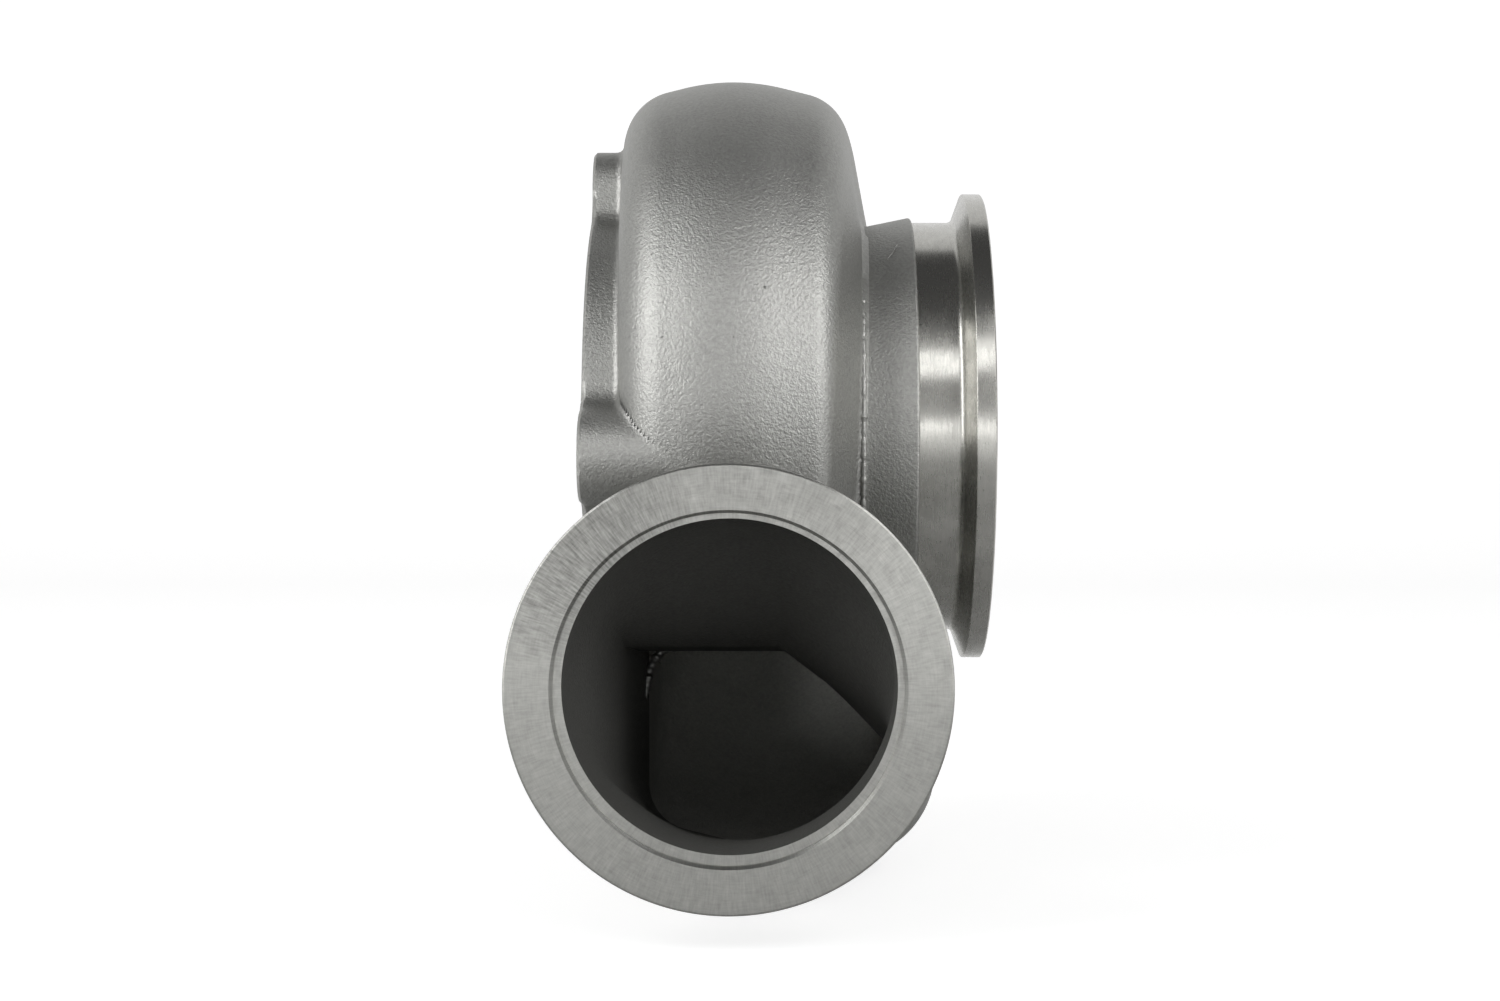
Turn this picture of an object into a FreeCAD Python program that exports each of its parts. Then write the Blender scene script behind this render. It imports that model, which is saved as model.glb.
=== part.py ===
"""Turbine housing of a turbocharger: one stainless steel casting with machined faces.

Frame, in millimetres: the turbine axis is X and the outlet is at +X. The origin is the centre of the face
that the centre housing bolts to. The inlet opens towards -Y, low down, and +Z is up.

The gas path starts at the inlet flange and runs along +Y under the turbine axis. From the throat, straight
under the axis, the scroll climbs up the back, passes over the top and comes down the front while its section
shrinks, until the tongue parts it from the incoming gas. A station is an angle about the turbine axis,
counted from the throat in the direction of flow. A section is drawn in its station's plane, with the
distance along the axis across the sheet and the radius from the axis up it.
"""

import FreeCAD
import Part
import math
import os
import Sketcher

NODE = "turbine_housing"
SHEET = "Sizes"

FLANGE_SIZES = {
    # Centre housing flange, with its bolt bosses and register bore
    "rim_radius": 50.0,
    "rim_width": 9.0,
    "rim_chamfer": 0.6,
    "boss_count": 4,
    "boss_radius": 10.7,
    "boss_length": 30.0,
    "bolt_circle_radius": 53.4,
    "bolt_first_angle": 6.8,
    "bolt_hole_diameter": 6.8,
    "bolt_hole_depth": 9.0,
    "register_radius": 42.5,
    "register_depth": 8.0,
    # Outlet: cast cone, machined neck and clamp flange
    "cone_start_along": 61.8,
    "cone_start_radius": 46.3,
    "cone_end_along": 73.0,
    "cone_end_radius": 48.6,
    "outlet_neck_radius": 47.4,
    "outlet_flange_radius": 54.0,
    "outlet_face_along": 89.2,
    # Inlet: machined neck and clamp flange
    "inlet_centre_along": 32.6,
    "inlet_centre_drop": 51.65,
    "inlet_face_forward": 95.0,
    "inlet_flange_radius": 44.7,
    "inlet_neck_radius": 38.6,
    "inlet_neck_length": 15.0,
    "inlet_step_radius": 35.5,
    "inlet_step_depth": 1.4,
    # Both clamp flanges
    "clamp_land_width": 4.3,
    "clamp_slope_angle": 20.0,
    "clamp_root_fillet": 1.6,
    "clamp_edge_chamfer": 0.5,
}

PASSAGE_SIZES = {
    # Turbine wheel space, from the centre housing side to the outlet
    "shield_seat_radius": 38.5,
    "nozzle_start_along": 14.0,
    "nozzle_width": 12.0,
    "nozzle_radius": 42.0,
    "wheel_bore_radius": 31.5,
    "shroud_curve_radius": 8.0,
    "wheel_bore_end_along": 50.0,
    "diffuser_end_radius": 41.0,
    "outlet_step_radius": 43.5,
    "outlet_step_depth": 2.5,
    # Cast inlet bore, whose core sits a little off the machined ring
    "inlet_bore_radius": 33.3,
    "core_shift_along": 0.2,
    "core_shift_up": 0.5,
    # Metal between the gas and the outside
    "wall": 5.0,
    "root_radius": 40.0,
    # How steeply the crown falls from its dome to the walls on either side
    "crown_slope_angle": 14.0,
}

# The outside of the scroll: its section at the throat, over the top and where it dies away at the front.
# A section has a left wall, a domed crown, a right wall that ends at a foot, and a floor down to the root.
OUTSIDE_SIZES = {
    "crown_throat": 104.0,
    "crown_top": 80.4,
    "crown_end": 56.5,
    "dome_throat": 48.0,
    "dome_top": 48.0,
    "dome_end": 36.0,
    "left_throat": 7.0,
    "left_top": 6.7,
    "left_end": 10.0,
    "shoulder_throat": 78.0,
    "shoulder_top": 57.3,
    "shoulder_end": 50.0,
    "foot_throat": 79.0,
    "foot_top": 62.5,
    "foot_end": 61.0,
    "foot_radius_throat": 75.0,
    "foot_radius_top": 42.0,
    "foot_radius_end": 42.0,
    "floor_throat": 40.0,
    "floor_top": 55.0,
    "floor_end": 55.0,
    "left_round_throat": 16.0,
    "left_round_top": 13.0,
    "left_round_end": 7.5,
    "right_round_throat": 21.0,
    "right_round_top": 12.0,
    "right_round_end": 5.5,
    "foot_round_throat": 10.0,
    "foot_round_top": 1.5,
    "foot_round_end": 1.5,
}

# The gas passage inside the scroll, where it isn't simply one wall inside the outside
CAVITY_SIZES = {
    "cavity_crown_end": 48.0,
    "cavity_shoulder_end": 40.0,
    "cavity_foot_top": 56.0,
    "cavity_foot_end": 44.0,
    "cavity_foot_radius_throat": 78.0,
    "cavity_foot_radius_top": 51.0,
    "cavity_foot_radius_end": 44.5,
    "cavity_floor_throat": 44.0,
    "cavity_floor": 30.0,
    "tongue_radius": 51.5,
    "cavity_round_end": 3.0,
    "cavity_foot_round_throat": 10.0,
    "cavity_foot_round_top": 6.0,
    "cavity_foot_round_end": 1.0,
}

# The inlet passage halfway between the round bore and the throat
APPROACH_SIZES = {
    "approach_forward": 38.0,
    "approach_tongue_radius": 48.5,
    "approach_crown": 96.5,
    "approach_dome": 48.0,
    "approach_left": 4.0,
    "approach_shoulder": 75.0,
    "approach_foot": 76.5,
    "approach_foot_radius": 70.0,
    "approach_floor": 41.0,
    "approach_left_round": 20.0,
    "approach_right_round": 23.0,
    "approach_foot_round": 12.0,
}

# Stations of the scroll, in degrees
THROAT, TOP, OUTSIDE_END, CAVITY_END = 0, 180, 330, 345
STATION_STEP = 30
CLIMB_END = 90

# Where the round inlet is cut into ten arcs, one for each edge of a scroll section, in degrees from the axis
# direction as seen from the section's middle: left wall, crown with its dome, right wall, floor and root.
ROUND_SPLITS = (221.0, 155.0, 128.0, 115.0, 65.0, 52.0, 12.0, 5.0, -8.0, -80.0)


def cell(name):
    """Name of a sheet value as an expression."""
    return f"{SHEET}.{name}"


def add_sheet(doc):
    """Put every driving size in the sheet, one row each, with its name beside it."""
    sheet = doc.addObject("Spreadsheet::Sheet", SHEET)
    groups = (FLANGE_SIZES, PASSAGE_SIZES, OUTSIDE_SIZES, CAVITY_SIZES, APPROACH_SIZES)
    sizes = {name: value for group in groups for name, value in group.items()}
    for row, (name, value) in enumerate(sizes.items(), start=1):
        sheet.set(f"A{row}", name)
        sheet.set(f"B{row}", str(value))
        sheet.setAlias(f"B{row}", name)
    doc.recompute()


def origin_feature(body, role):
    """The origin plane or axis of a body that has the given role."""
    return next(item for item in body.Origin.OriginFeatures if item.Role == role)


class Sheet:
    """A sketch whose points are placed by expressions, and which knows their present values."""

    def __init__(self, body, name, plane="XZ_Plane"):
        self.sketch = body.newObject("Sketcher::SketchObject", name)
        self.sketch.AttachmentSupport = (origin_feature(body, plane), "")
        self.sketch.MapMode = "FlatFace"
        self.rules = []
        self.bound = {}

    def value(self, text):
        """Present value of an expression."""
        result = self.sketch.evalExpression(text)
        return float(getattr(result, "Value", result))

    def point(self, across, up):
        """Vector of two expressions at their present values."""
        return FreeCAD.Vector(self.value(across), self.value(up), 0)

    def rule(self, *terms):
        """Keep a constraint for later."""
        self.rules.append(Sketcher.Constraint(*terms))

    def size(self, text, kind, *terms):
        """Keep a constraint whose value is an expression."""
        self.bound[len(self.rules)] = text
        self.rule(kind, *terms, self.value(text))

    def pin(self, geometry, end, across, up):
        """Hold one end of a piece of geometry at two expressions, measured from the origin."""
        self.size(across, "DistanceX", -1, 1, geometry, end)
        self.size(up, "DistanceY", -1, 1, geometry, end)

    def finish(self):
        """Add the constraints that were kept, and bind the ones that follow the sheet."""
        self.sketch.addConstraint(self.rules)
        for number, text in self.bound.items():
            self.sketch.setExpression(f"Constraints[{number}]", text)

    def outline(self, corners):
        """Closed outline of straight lines and filleted corners.

        A corner is (across, up) or (across, up, round), all of them expressions. Guide lines join the sharp
        corners, a rounded corner is an arc tangent to the guides on both its sides, and the outline's own
        lines join what the arcs leave.
        """
        count = len(corners)
        spots = [self.point(corner[0], corner[1]) for corner in corners]
        guides = []
        for i, corner in enumerate(corners):
            line = Part.LineSegment(spots[i], spots[(i + 1) % count])
            guides.append(self.sketch.addGeometry(line, True))
            self.pin(guides[i], 1, corner[0], corner[1])
        for i in range(count):
            self.rule("Coincident", guides[i - 1], 2, guides[i], 1)
        ends = [self.corner_ends(corner, spots, guides, i) for i, corner in enumerate(corners)]
        for i in range(count):
            leave, reach = ends[i][1], ends[(i + 1) % count][0]
            line = Part.LineSegment(leave[2], reach[2])
            side = self.sketch.addGeometry(line, False)
            self.rule("Coincident", side, 1, leave[0], leave[1])
            self.rule("Coincident", side, 2, reach[0], reach[1])
        self.finish()

    def corner_ends(self, corner, spots, guides, i):
        """Where the outline reaches and leaves a corner: geometry, which of its ends, and the spot."""
        if len(corner) == 2:
            end = (guides[i], 1, spots[i])
            return end, end
        back = (spots[i - 1] - spots[i]).normalize()
        ahead = (spots[(i + 1) % len(spots)] - spots[i]).normalize()
        half = back.getAngle(ahead) / 2
        size = self.value(corner[2])
        first = spots[i] + back * (size / math.tan(half))
        last = spots[i] + ahead * (size / math.tan(half))
        centre = spots[i] + (back + ahead).normalize() * (size / math.sin(half))
        turns_left = back.cross(ahead).z < 0
        near, far = (1, 2) if turns_left else (2, 1)
        low, high = (first, last) if turns_left else (last, first)
        angles = [math.atan2(spot.y - centre.y, spot.x - centre.x) for spot in (low, high)]
        if angles[1] < angles[0]:
            angles[1] += 2 * math.pi
        circle = Part.Circle(centre, FreeCAD.Vector(0, 0, 1), size)
        arc = self.sketch.addGeometry(Part.ArcOfCircle(circle, *angles), False)
        self.rule("Tangent", arc, near, guides[i - 1])
        self.rule("Tangent", arc, far, guides[i])
        self.size(corner[2], "Radius", arc)
        return (arc, near, first), (arc, far, last)

    def split_circle(self, across, up, radius, splits):
        """Circle made of arcs that meet on spokes at the given angles, in degrees."""
        centre = self.point(across, up)
        size = self.value(radius)
        circle = Part.Circle(centre, FreeCAD.Vector(0, 0, 1), size)
        guide = self.sketch.addGeometry(circle, True)
        self.pin(guide, 3, across, up)
        self.size(radius, "Radius", guide)
        spokes = []
        for degrees in splits:
            angle = math.radians(degrees)
            tip = centre + FreeCAD.Vector(math.cos(angle), math.sin(angle), 0) * size
            spoke = self.sketch.addGeometry(Part.LineSegment(centre, tip), True)
            self.rule("Coincident", spoke, 1, guide, 3)
            self.rule("PointOnObject", spoke, 2, guide)
            self.rule("Angle", spoke, angle)
            spokes.append(spoke)
        for i, degrees in enumerate(splits):
            after = (i + 1) % len(splits)
            low, high = math.radians(splits[after]), math.radians(degrees)
            if high < low:
                high += 2 * math.pi
            arc = self.sketch.addGeometry(Part.ArcOfCircle(circle, low, high), False)
            self.rule("Coincident", arc, 2, spokes[i], 2)
            self.rule("Coincident", arc, 1, spokes[after], 2)
            self.rule("Equal", arc, guide)
        self.finish()


def mixed(throat, top, last, station, end):
    """Expression for a size at a station, from three expressions at the throat, the top and the end."""
    if station <= TOP:
        first, after, share = throat, top, station / TOP
    else:
        first, after, share = top, last, (station - TOP) / (end - TOP)
    return f"(({first}) * {1 - share:.6f} + ({after}) * {share:.6f})"


def between(name, station, end):
    """Expression for a named size at a station, from its values at the throat, the top and the end."""
    return mixed(cell(f"{name}_throat"), cell(f"{name}_top"), cell(f"{name}_end"), station, end)


def crown_corners(left, right, crown, dome, left_round, right_round):
    """Corners of a crown between two walls: it slopes up from each of them to a dome in the middle."""
    slope = cell("crown_slope_angle")
    tip = f"({crown}) + ({dome}) * (1 / cos({slope}) - 1)"
    edge = f"{tip} - (({right}) - ({left})) / 2 * tan({slope})"
    return [
        (left, edge, left_round),
        (f"(({left}) + ({right})) / 2", tip, dome),
        (right, edge, right_round),
    ]


def outside_corners(station):
    """Corners of the scroll's outer section at a station."""
    def at(name):
        return between(name, station, OUTSIDE_END)

    root = cell("root_radius")
    crown = crown_corners(
        at("left"), at("shoulder"), at("crown"), at("dome"), at("left_round"), at("right_round")
    )
    foot = (at("foot"), at("foot_radius"), at("foot_round"))
    return [(at("left"), root), *crown, foot, (at("floor"), root)]


def cavity_corners(station):
    """Corners of the gas passage's section at a station."""
    def at(throat, top, last):
        return mixed(throat, top, last, station, CAVITY_END)

    wall = cell("wall")
    left = at(f"{cell('left_throat')} + {wall}", f"{cell('left_top')} + {wall}", f"{cell('left_end')} + {wall}")
    crown = at(f"{cell('crown_throat')} - {wall}", f"{cell('crown_top')} - {wall}", cell("cavity_crown_end"))
    shoulder = at(
        f"{cell('shoulder_throat')} - {wall}", f"{cell('shoulder_top')} - {wall}", cell("cavity_shoulder_end")
    )
    dome = at(f"{cell('dome_throat')} - {wall}", f"{cell('dome_top')} - {wall}", f"{cell('dome_end')} - {wall}")
    foot = at(f"{cell('foot_throat')} - {wall}", cell("cavity_foot_top"), cell("cavity_foot_end"))
    foot_radius = between("cavity_foot_radius", station, CAVITY_END)
    left_round = at(
        f"{cell('left_round_throat')} - {wall}", f"{cell('left_round_top')} - {wall}", cell("cavity_round_end")
    )
    right_round = at(
        f"{cell('right_round_throat')} - {wall}", f"{cell('right_round_top')} - {wall}", cell("cavity_round_end")
    )
    foot_round = between("cavity_foot_round", station, CAVITY_END)
    root = cell("tongue_radius") if station == THROAT else cell("root_radius")
    floor = cell("cavity_floor_throat") if station == THROAT else cell("cavity_floor")
    top = crown_corners(left, shoulder, crown, dome, left_round, right_round)
    return [(left, root), *top, (foot, foot_radius, foot_round), (floor, root)]


def approach_corners(inset):
    """Corners of the inlet passage between the bore and the throat, drawn in by an inset."""
    def inward(name):
        return f"{cell(name)} - ({inset})"

    def outward(name):
        return f"{cell(name)} + ({inset})"

    root = f"{cell('approach_tongue_radius')} - {cell('wall')} + ({inset})"
    left = outward("approach_left")
    crown = crown_corners(
        left,
        inward("approach_shoulder"),
        inward("approach_crown"),
        inward("approach_dome"),
        inward("approach_left_round"),
        inward("approach_right_round"),
    )
    foot = (inward("approach_foot"), outward("approach_foot_radius"), cell("approach_foot_round"))
    return [(left, root), *crown, foot, (outward("approach_floor"), root)]


def station_sheet(doc, body, name, station):
    """Sketch in the plane of a station, with the radius up the sheet."""
    sheet = Sheet(body, name)
    turn = FreeCAD.Rotation(FreeCAD.Vector(1, 0, 0), 180 + station)
    sheet.sketch.AttachmentOffset = FreeCAD.Placement(FreeCAD.Vector(0, 0, 0), turn)
    doc.recompute()
    return sheet


def approach_sheet(doc, body, name, forward):
    """Sketch across the inlet passage, a distance in front of the turbine axis."""
    sheet = station_sheet(doc, body, name, THROAT)
    sheet.sketch.setExpression("AttachmentOffset.Base.z", forward)
    doc.recompute()
    return sheet


def loft(body, kind, name, sheets):
    """Loft through the sketches of the given sheets, in their order."""
    feature = body.newObject(kind, name)
    feature.Profile = sheets[0].sketch
    feature.Sections = [sheet.sketch for sheet in sheets[1:]]
    feature.Ruled = False
    feature.Closed = False
    return feature


def scroll_sheets(doc, body, prefix, stations, corners_at):
    """Section sketches of the scroll at the given stations."""
    sheets = []
    for station in stations:
        sheet = station_sheet(doc, body, f"{prefix}_{station}", station)
        sheet.outline(corners_at(station))
        sheets.append(sheet)
    return sheets


def inlet_sheets(doc, body, prefix, radius, forwards, shift, inset):
    """Section sketches from the round inlet to the one halfway to the throat."""
    across = f"{cell('inlet_centre_along')} + {shift} * {cell('core_shift_along')}"
    drop = f"{cell('inlet_centre_drop')} - {shift} * {cell('core_shift_up')}"
    sheets = []
    for number, forward in enumerate(forwards):
        sheet = approach_sheet(doc, body, f"{prefix}_round_{number}", forward)
        sheet.split_circle(across, drop, radius, ROUND_SPLITS)
        sheets.append(sheet)
    halfway = approach_sheet(doc, body, f"{prefix}_halfway", cell("approach_forward"))
    halfway.outline(approach_corners(inset))
    return sheets + [halfway]


def clamp_rise(face, neck, flange, sign):
    """Corners of a clamp flange's rim, from its neck to its face, along an axis with the given sign."""
    slope = f"({flange} - {neck}) * tan({cell('clamp_slope_angle')})"
    land_start = f"{face} - ({sign}) * {cell('clamp_land_width')}"
    chamfer = cell("clamp_edge_chamfer")
    return [
        (f"{land_start} - ({sign}) * {slope}", neck, cell("clamp_root_fillet")),
        (land_start, flange),
        (f"{face} - ({sign}) * {chamfer}", flange),
        (face, f"{flange} - {chamfer}"),
    ]


def add_hub(doc, body):
    """Turned core of the casting: centre housing rim, hub, outlet cone and outlet clamp flange."""
    sheet = Sheet(body, "hub_profile")
    rim, chamfer = cell("rim_radius"), cell("rim_chamfer")
    sheet.outline(
        [
            ("0", "0"),
            ("0", f"{rim} - {chamfer}"),
            (chamfer, rim),
            (cell("rim_width"), rim),
            (cell("rim_width"), cell("cone_start_radius")),
            (cell("cone_start_along"), cell("cone_start_radius")),
            (cell("cone_end_along"), cell("cone_end_radius")),
            (cell("cone_end_along"), cell("outlet_neck_radius")),
        ]
        + clamp_rise(
            cell("outlet_face_along"), cell("outlet_neck_radius"), cell("outlet_flange_radius"), "1"
        )
        + [(cell("outlet_face_along"), "0")]
    )
    hub = body.newObject("PartDesign::Revolution", "hub")
    hub.Profile = sheet.sketch
    hub.ReferenceAxis = (sheet.sketch, ["H_Axis"])
    hub.Angle = 360
    doc.recompute()


def add_bosses(doc, body):
    """Round bosses for the centre housing bolts, from the face into the scroll."""
    sheet = Sheet(body, "boss_circle", "YZ_Plane")
    place_on_bolt_circle(sheet, cell("boss_radius"))
    boss = body.newObject("PartDesign::Pad", "boss")
    boss.Profile = sheet.sketch
    boss.setExpression("Length", cell("boss_length"))
    doc.recompute()
    repeat_round_axis(doc, body, boss, "bosses")


def place_on_bolt_circle(sheet, radius):
    """Circle round the first bolt, which stands a few degrees forward of the top."""
    swing = cell("bolt_first_angle")
    across = f"-{cell('bolt_circle_radius')} * sin({swing})"
    up = f"{cell('bolt_circle_radius')} * cos({swing})"
    centre = sheet.point(across, up)
    circle = Part.Circle(centre, FreeCAD.Vector(0, 0, 1), sheet.value(radius))
    number = sheet.sketch.addGeometry(circle, False)
    sheet.pin(number, 3, across, up)
    sheet.size(radius, "Radius", number)
    sheet.finish()


def repeat_round_axis(doc, body, feature, name):
    """Repeat a feature evenly round the turbine axis, once for each bolt."""
    pattern = body.newObject("PartDesign::PolarPattern", name)
    pattern.Originals = [feature]
    pattern.Axis = (origin_feature(body, "X_Axis"), [""])
    pattern.Angle = 360
    pattern.setExpression("Occurrences", cell("boss_count"))
    body.Tip = pattern
    doc.recompute()


def add_inlet_flange(doc, body):
    """Turned inlet neck and clamp flange, round the inlet's own axis."""
    sheet = inlet_axis_sheet(doc, body, "inlet_profile")
    face = f"-{cell('inlet_face_forward')}"
    neck = cell("inlet_neck_radius")
    back = f"{face} + {cell('inlet_neck_length')}"
    sheet.outline(
        [(back, "0"), (back, neck)]
        + clamp_rise(face, neck, cell("inlet_flange_radius"), "-1")
        + [(face, "0")]
    )
    flange = body.newObject("PartDesign::Revolution", "inlet_flange")
    flange.Profile = sheet.sketch
    flange.ReferenceAxis = (sheet.sketch, ["H_Axis"])
    flange.Angle = 360
    doc.recompute()


def inlet_axis_sheet(doc, body, name):
    """Sketch along the inlet's axis, whose own horizontal axis is that axis."""
    sheet = Sheet(body, name, "YZ_Plane")
    sheet.sketch.setExpression("AttachmentOffset.Base.y", f"-{cell('inlet_centre_drop')}")
    sheet.sketch.setExpression("AttachmentOffset.Base.z", cell("inlet_centre_along"))
    doc.recompute()
    return sheet


def add_scroll(doc, body):
    """Outside of the inlet neck and of the scroll, in two lofts that share the section at the back."""
    forwards = (
        f"{cell('inlet_face_forward')} - {cell('clamp_land_width')} - {cell('clamp_root_fillet')}",
        f"{cell('inlet_face_forward')} - {cell('inlet_neck_length')}",
    )
    neck = f"{cell('inlet_neck_radius')} - {cell('clamp_edge_chamfer')}"
    neck_sheets = inlet_sheets(doc, body, "neck", neck, forwards, 0, "0")
    climb = range(THROAT, CLIMB_END + 1, STATION_STEP)
    fall = range(CLIMB_END, OUTSIDE_END + 1, STATION_STEP)
    climb_sheets = scroll_sheets(doc, body, "climb", climb, outside_corners)
    loft(body, "PartDesign::AdditiveLoft", "inlet_and_climb", neck_sheets + climb_sheets)
    doc.recompute()
    fall_sheets = scroll_sheets(doc, body, "fall", fall, outside_corners)
    loft(body, "PartDesign::AdditiveLoft", "scroll", fall_sheets)
    doc.recompute()


def cut_gas_passage(doc, body):
    """Gas passage from the inlet bore, through the throat and round the scroll to the tongue."""
    forwards = (
        cell("inlet_face_forward"),
        f"{cell('inlet_face_forward')} - {cell('inlet_neck_length')}",
    )
    sheets = inlet_sheets(doc, body, "bore", cell("inlet_bore_radius"), forwards, 1, cell("wall"))
    stations = list(range(THROAT, CAVITY_END, STATION_STEP)) + [CAVITY_END]
    sheets += scroll_sheets(doc, body, "cavity", stations, cavity_corners)
    loft(body, "PartDesign::SubtractiveLoft", "gas_passage", sheets)
    doc.recompute()


def cut_wheel_space(doc, body):
    """Register for the centre housing, nozzle slot, shroud for the wheel, and outlet diffuser."""
    sheet = Sheet(body, "wheel_space_profile")
    nozzle_end = f"{cell('nozzle_start_along')} + {cell('nozzle_width')}"
    outlet_step = f"{cell('outlet_face_along')} - {cell('outlet_step_depth')}"
    sheet.outline(
        [
            ("0", "0"),
            ("0", cell("register_radius")),
            (cell("register_depth"), cell("register_radius")),
            (cell("register_depth"), cell("shield_seat_radius")),
            (cell("nozzle_start_along"), cell("shield_seat_radius")),
            (cell("nozzle_start_along"), cell("nozzle_radius")),
            (nozzle_end, cell("nozzle_radius")),
            (nozzle_end, cell("wheel_bore_radius"), cell("shroud_curve_radius")),
            (cell("wheel_bore_end_along"), cell("wheel_bore_radius")),
            (outlet_step, cell("diffuser_end_radius")),
            (outlet_step, cell("outlet_step_radius")),
            (cell("outlet_face_along"), cell("outlet_step_radius")),
            (cell("outlet_face_along"), "0"),
        ]
    )
    groove = body.newObject("PartDesign::Groove", "wheel_space")
    groove.Profile = sheet.sketch
    groove.ReferenceAxis = (sheet.sketch, ["H_Axis"])
    groove.Angle = 360
    doc.recompute()


def cut_inlet_step(doc, body):
    """Shallow turned step round the inlet bore, which centres the pipe's seal."""
    sheet = inlet_axis_sheet(doc, body, "inlet_step_profile")
    face = f"-{cell('inlet_face_forward')}"
    floor = f"{face} + {cell('inlet_step_depth')}"
    step = cell("inlet_step_radius")
    sheet.outline([(face, "0"), (face, step), (floor, step), (floor, "0")])
    groove = body.newObject("PartDesign::Groove", "inlet_step")
    groove.Profile = sheet.sketch
    groove.ReferenceAxis = (sheet.sketch, ["H_Axis"])
    groove.Angle = 360
    doc.recompute()


def cut_bolt_holes(doc, body):
    """Blind holes for the centre housing bolts, one in each boss."""
    sheet = Sheet(body, "bolt_hole_circle", "YZ_Plane")
    place_on_bolt_circle(sheet, f"{cell('bolt_hole_diameter')} / 2")
    hole = body.newObject("PartDesign::Pocket", "bolt_hole")
    hole.Profile = sheet.sketch
    hole.setExpression("Length", cell("bolt_hole_depth"))
    hole.Reversed = True
    doc.recompute()
    repeat_round_axis(doc, body, hole, "bolt_holes")


def check(doc, body):
    """Stop if any object failed or the casting isn't one sound solid."""
    failed = [item.Name for item in doc.Objects if {"Invalid", "Error"} & set(item.State)]
    if failed:
        raise SystemExit(f"failed objects: {', '.join(failed)}")
    shape = body.Shape
    if shape.isNull() or not shape.isValid() or len(shape.Solids) != 1:
        raise SystemExit(f"{body.Label} isn't one valid solid")


def main():
    """Build the casting and write its file."""
    doc = FreeCAD.newDocument("turbine_housing_model")
    add_sheet(doc)
    body = doc.addObject("PartDesign::Body", NODE)
    body.Label = NODE
    add_hub(doc, body)
    add_bosses(doc, body)
    add_inlet_flange(doc, body)
    add_scroll(doc, body)
    volumes = [body.Shape.Volume]
    for cut in (cut_gas_passage, cut_wheel_space, cut_inlet_step, cut_bolt_holes):
        cut(doc, body)
        volumes.append(body.Shape.Volume)
        if volumes[-1] > volumes[-2] - 1:
            raise SystemExit(f"{cut.__name__} cut nothing")
    check(doc, body)
    os.makedirs("parts", exist_ok=True)
    body.Shape.exportStep(os.path.join("parts", f"{body.Label}.step"))


main()
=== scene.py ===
"""Looks of a turbocharger's turbine housing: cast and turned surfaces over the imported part.

Frame: X is the turbine axis with the outlet at +X, the inlet opens towards -Y, +Z is up. Sizes in the
classes are millimetres and become metres when a mesh is made. A station is an angle about the turbine axis,
in degrees from straight below it in the direction the gas flows: up the back, over the top and down the
front. The inlet leg is counted in negative millimetres before station 0.
"""

import logging
import math
from collections.abc import Callable
from dataclasses import dataclass, field
from enum import Enum

import bpy
import numpy as np
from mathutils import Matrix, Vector


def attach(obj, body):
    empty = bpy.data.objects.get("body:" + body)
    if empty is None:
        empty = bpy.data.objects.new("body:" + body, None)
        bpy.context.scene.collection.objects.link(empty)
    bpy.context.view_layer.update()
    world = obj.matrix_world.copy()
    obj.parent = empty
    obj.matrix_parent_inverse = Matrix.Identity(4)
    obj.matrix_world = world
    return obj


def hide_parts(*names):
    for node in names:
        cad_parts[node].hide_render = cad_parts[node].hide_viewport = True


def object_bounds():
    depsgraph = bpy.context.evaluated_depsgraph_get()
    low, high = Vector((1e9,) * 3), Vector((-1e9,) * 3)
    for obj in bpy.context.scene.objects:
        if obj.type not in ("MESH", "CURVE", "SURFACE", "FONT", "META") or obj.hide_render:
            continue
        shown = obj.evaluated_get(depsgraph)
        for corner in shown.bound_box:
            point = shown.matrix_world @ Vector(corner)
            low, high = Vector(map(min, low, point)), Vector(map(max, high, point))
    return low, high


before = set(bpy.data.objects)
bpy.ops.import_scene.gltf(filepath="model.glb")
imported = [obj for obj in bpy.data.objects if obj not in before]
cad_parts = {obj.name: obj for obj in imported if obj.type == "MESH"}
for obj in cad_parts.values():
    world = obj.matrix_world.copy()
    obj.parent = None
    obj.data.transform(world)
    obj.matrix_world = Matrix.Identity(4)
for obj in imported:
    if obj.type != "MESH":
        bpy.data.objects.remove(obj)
SOLID_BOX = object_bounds()

MM = 0.001
LOG = logging.getLogger("turbine_housing")
Field = Callable[[np.ndarray], np.ndarray]
Operand = float | tuple[float, ...] | bpy.types.NodeSocket

# Travel along the scroll's centre line for each degree of station: inlet leg and scroll share one scale
TRAVEL_PER_DEGREE = 1.22
# How steeply a section's crown falls from its dome to the walls, and the sharpest edge that is shaded smooth
CROWN_SLOPE = math.radians(14.0)
CREASE_DEGREES = 32.0
# Share of a fillet's size up to which its skin is followed onto the neighbouring surface
FILLET_REACH = 0.98
# Share of its depth in a field that a point on a ray moves in one step
STEP_SHARE = 0.9


class Axis(Enum):
    """Axes that the turned surfaces go round."""

    TURBINE = "turbine"
    INLET = "inlet"


def clamp_ease(value: np.ndarray, low: float, high: float) -> np.ndarray:
    """Smooth step: 0 below low, 1 above high, with level ends."""
    share = np.clip((value - low) / (high - low), 0.0, 1.0)
    return share * share * (3.0 - 2.0 * share)


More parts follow.
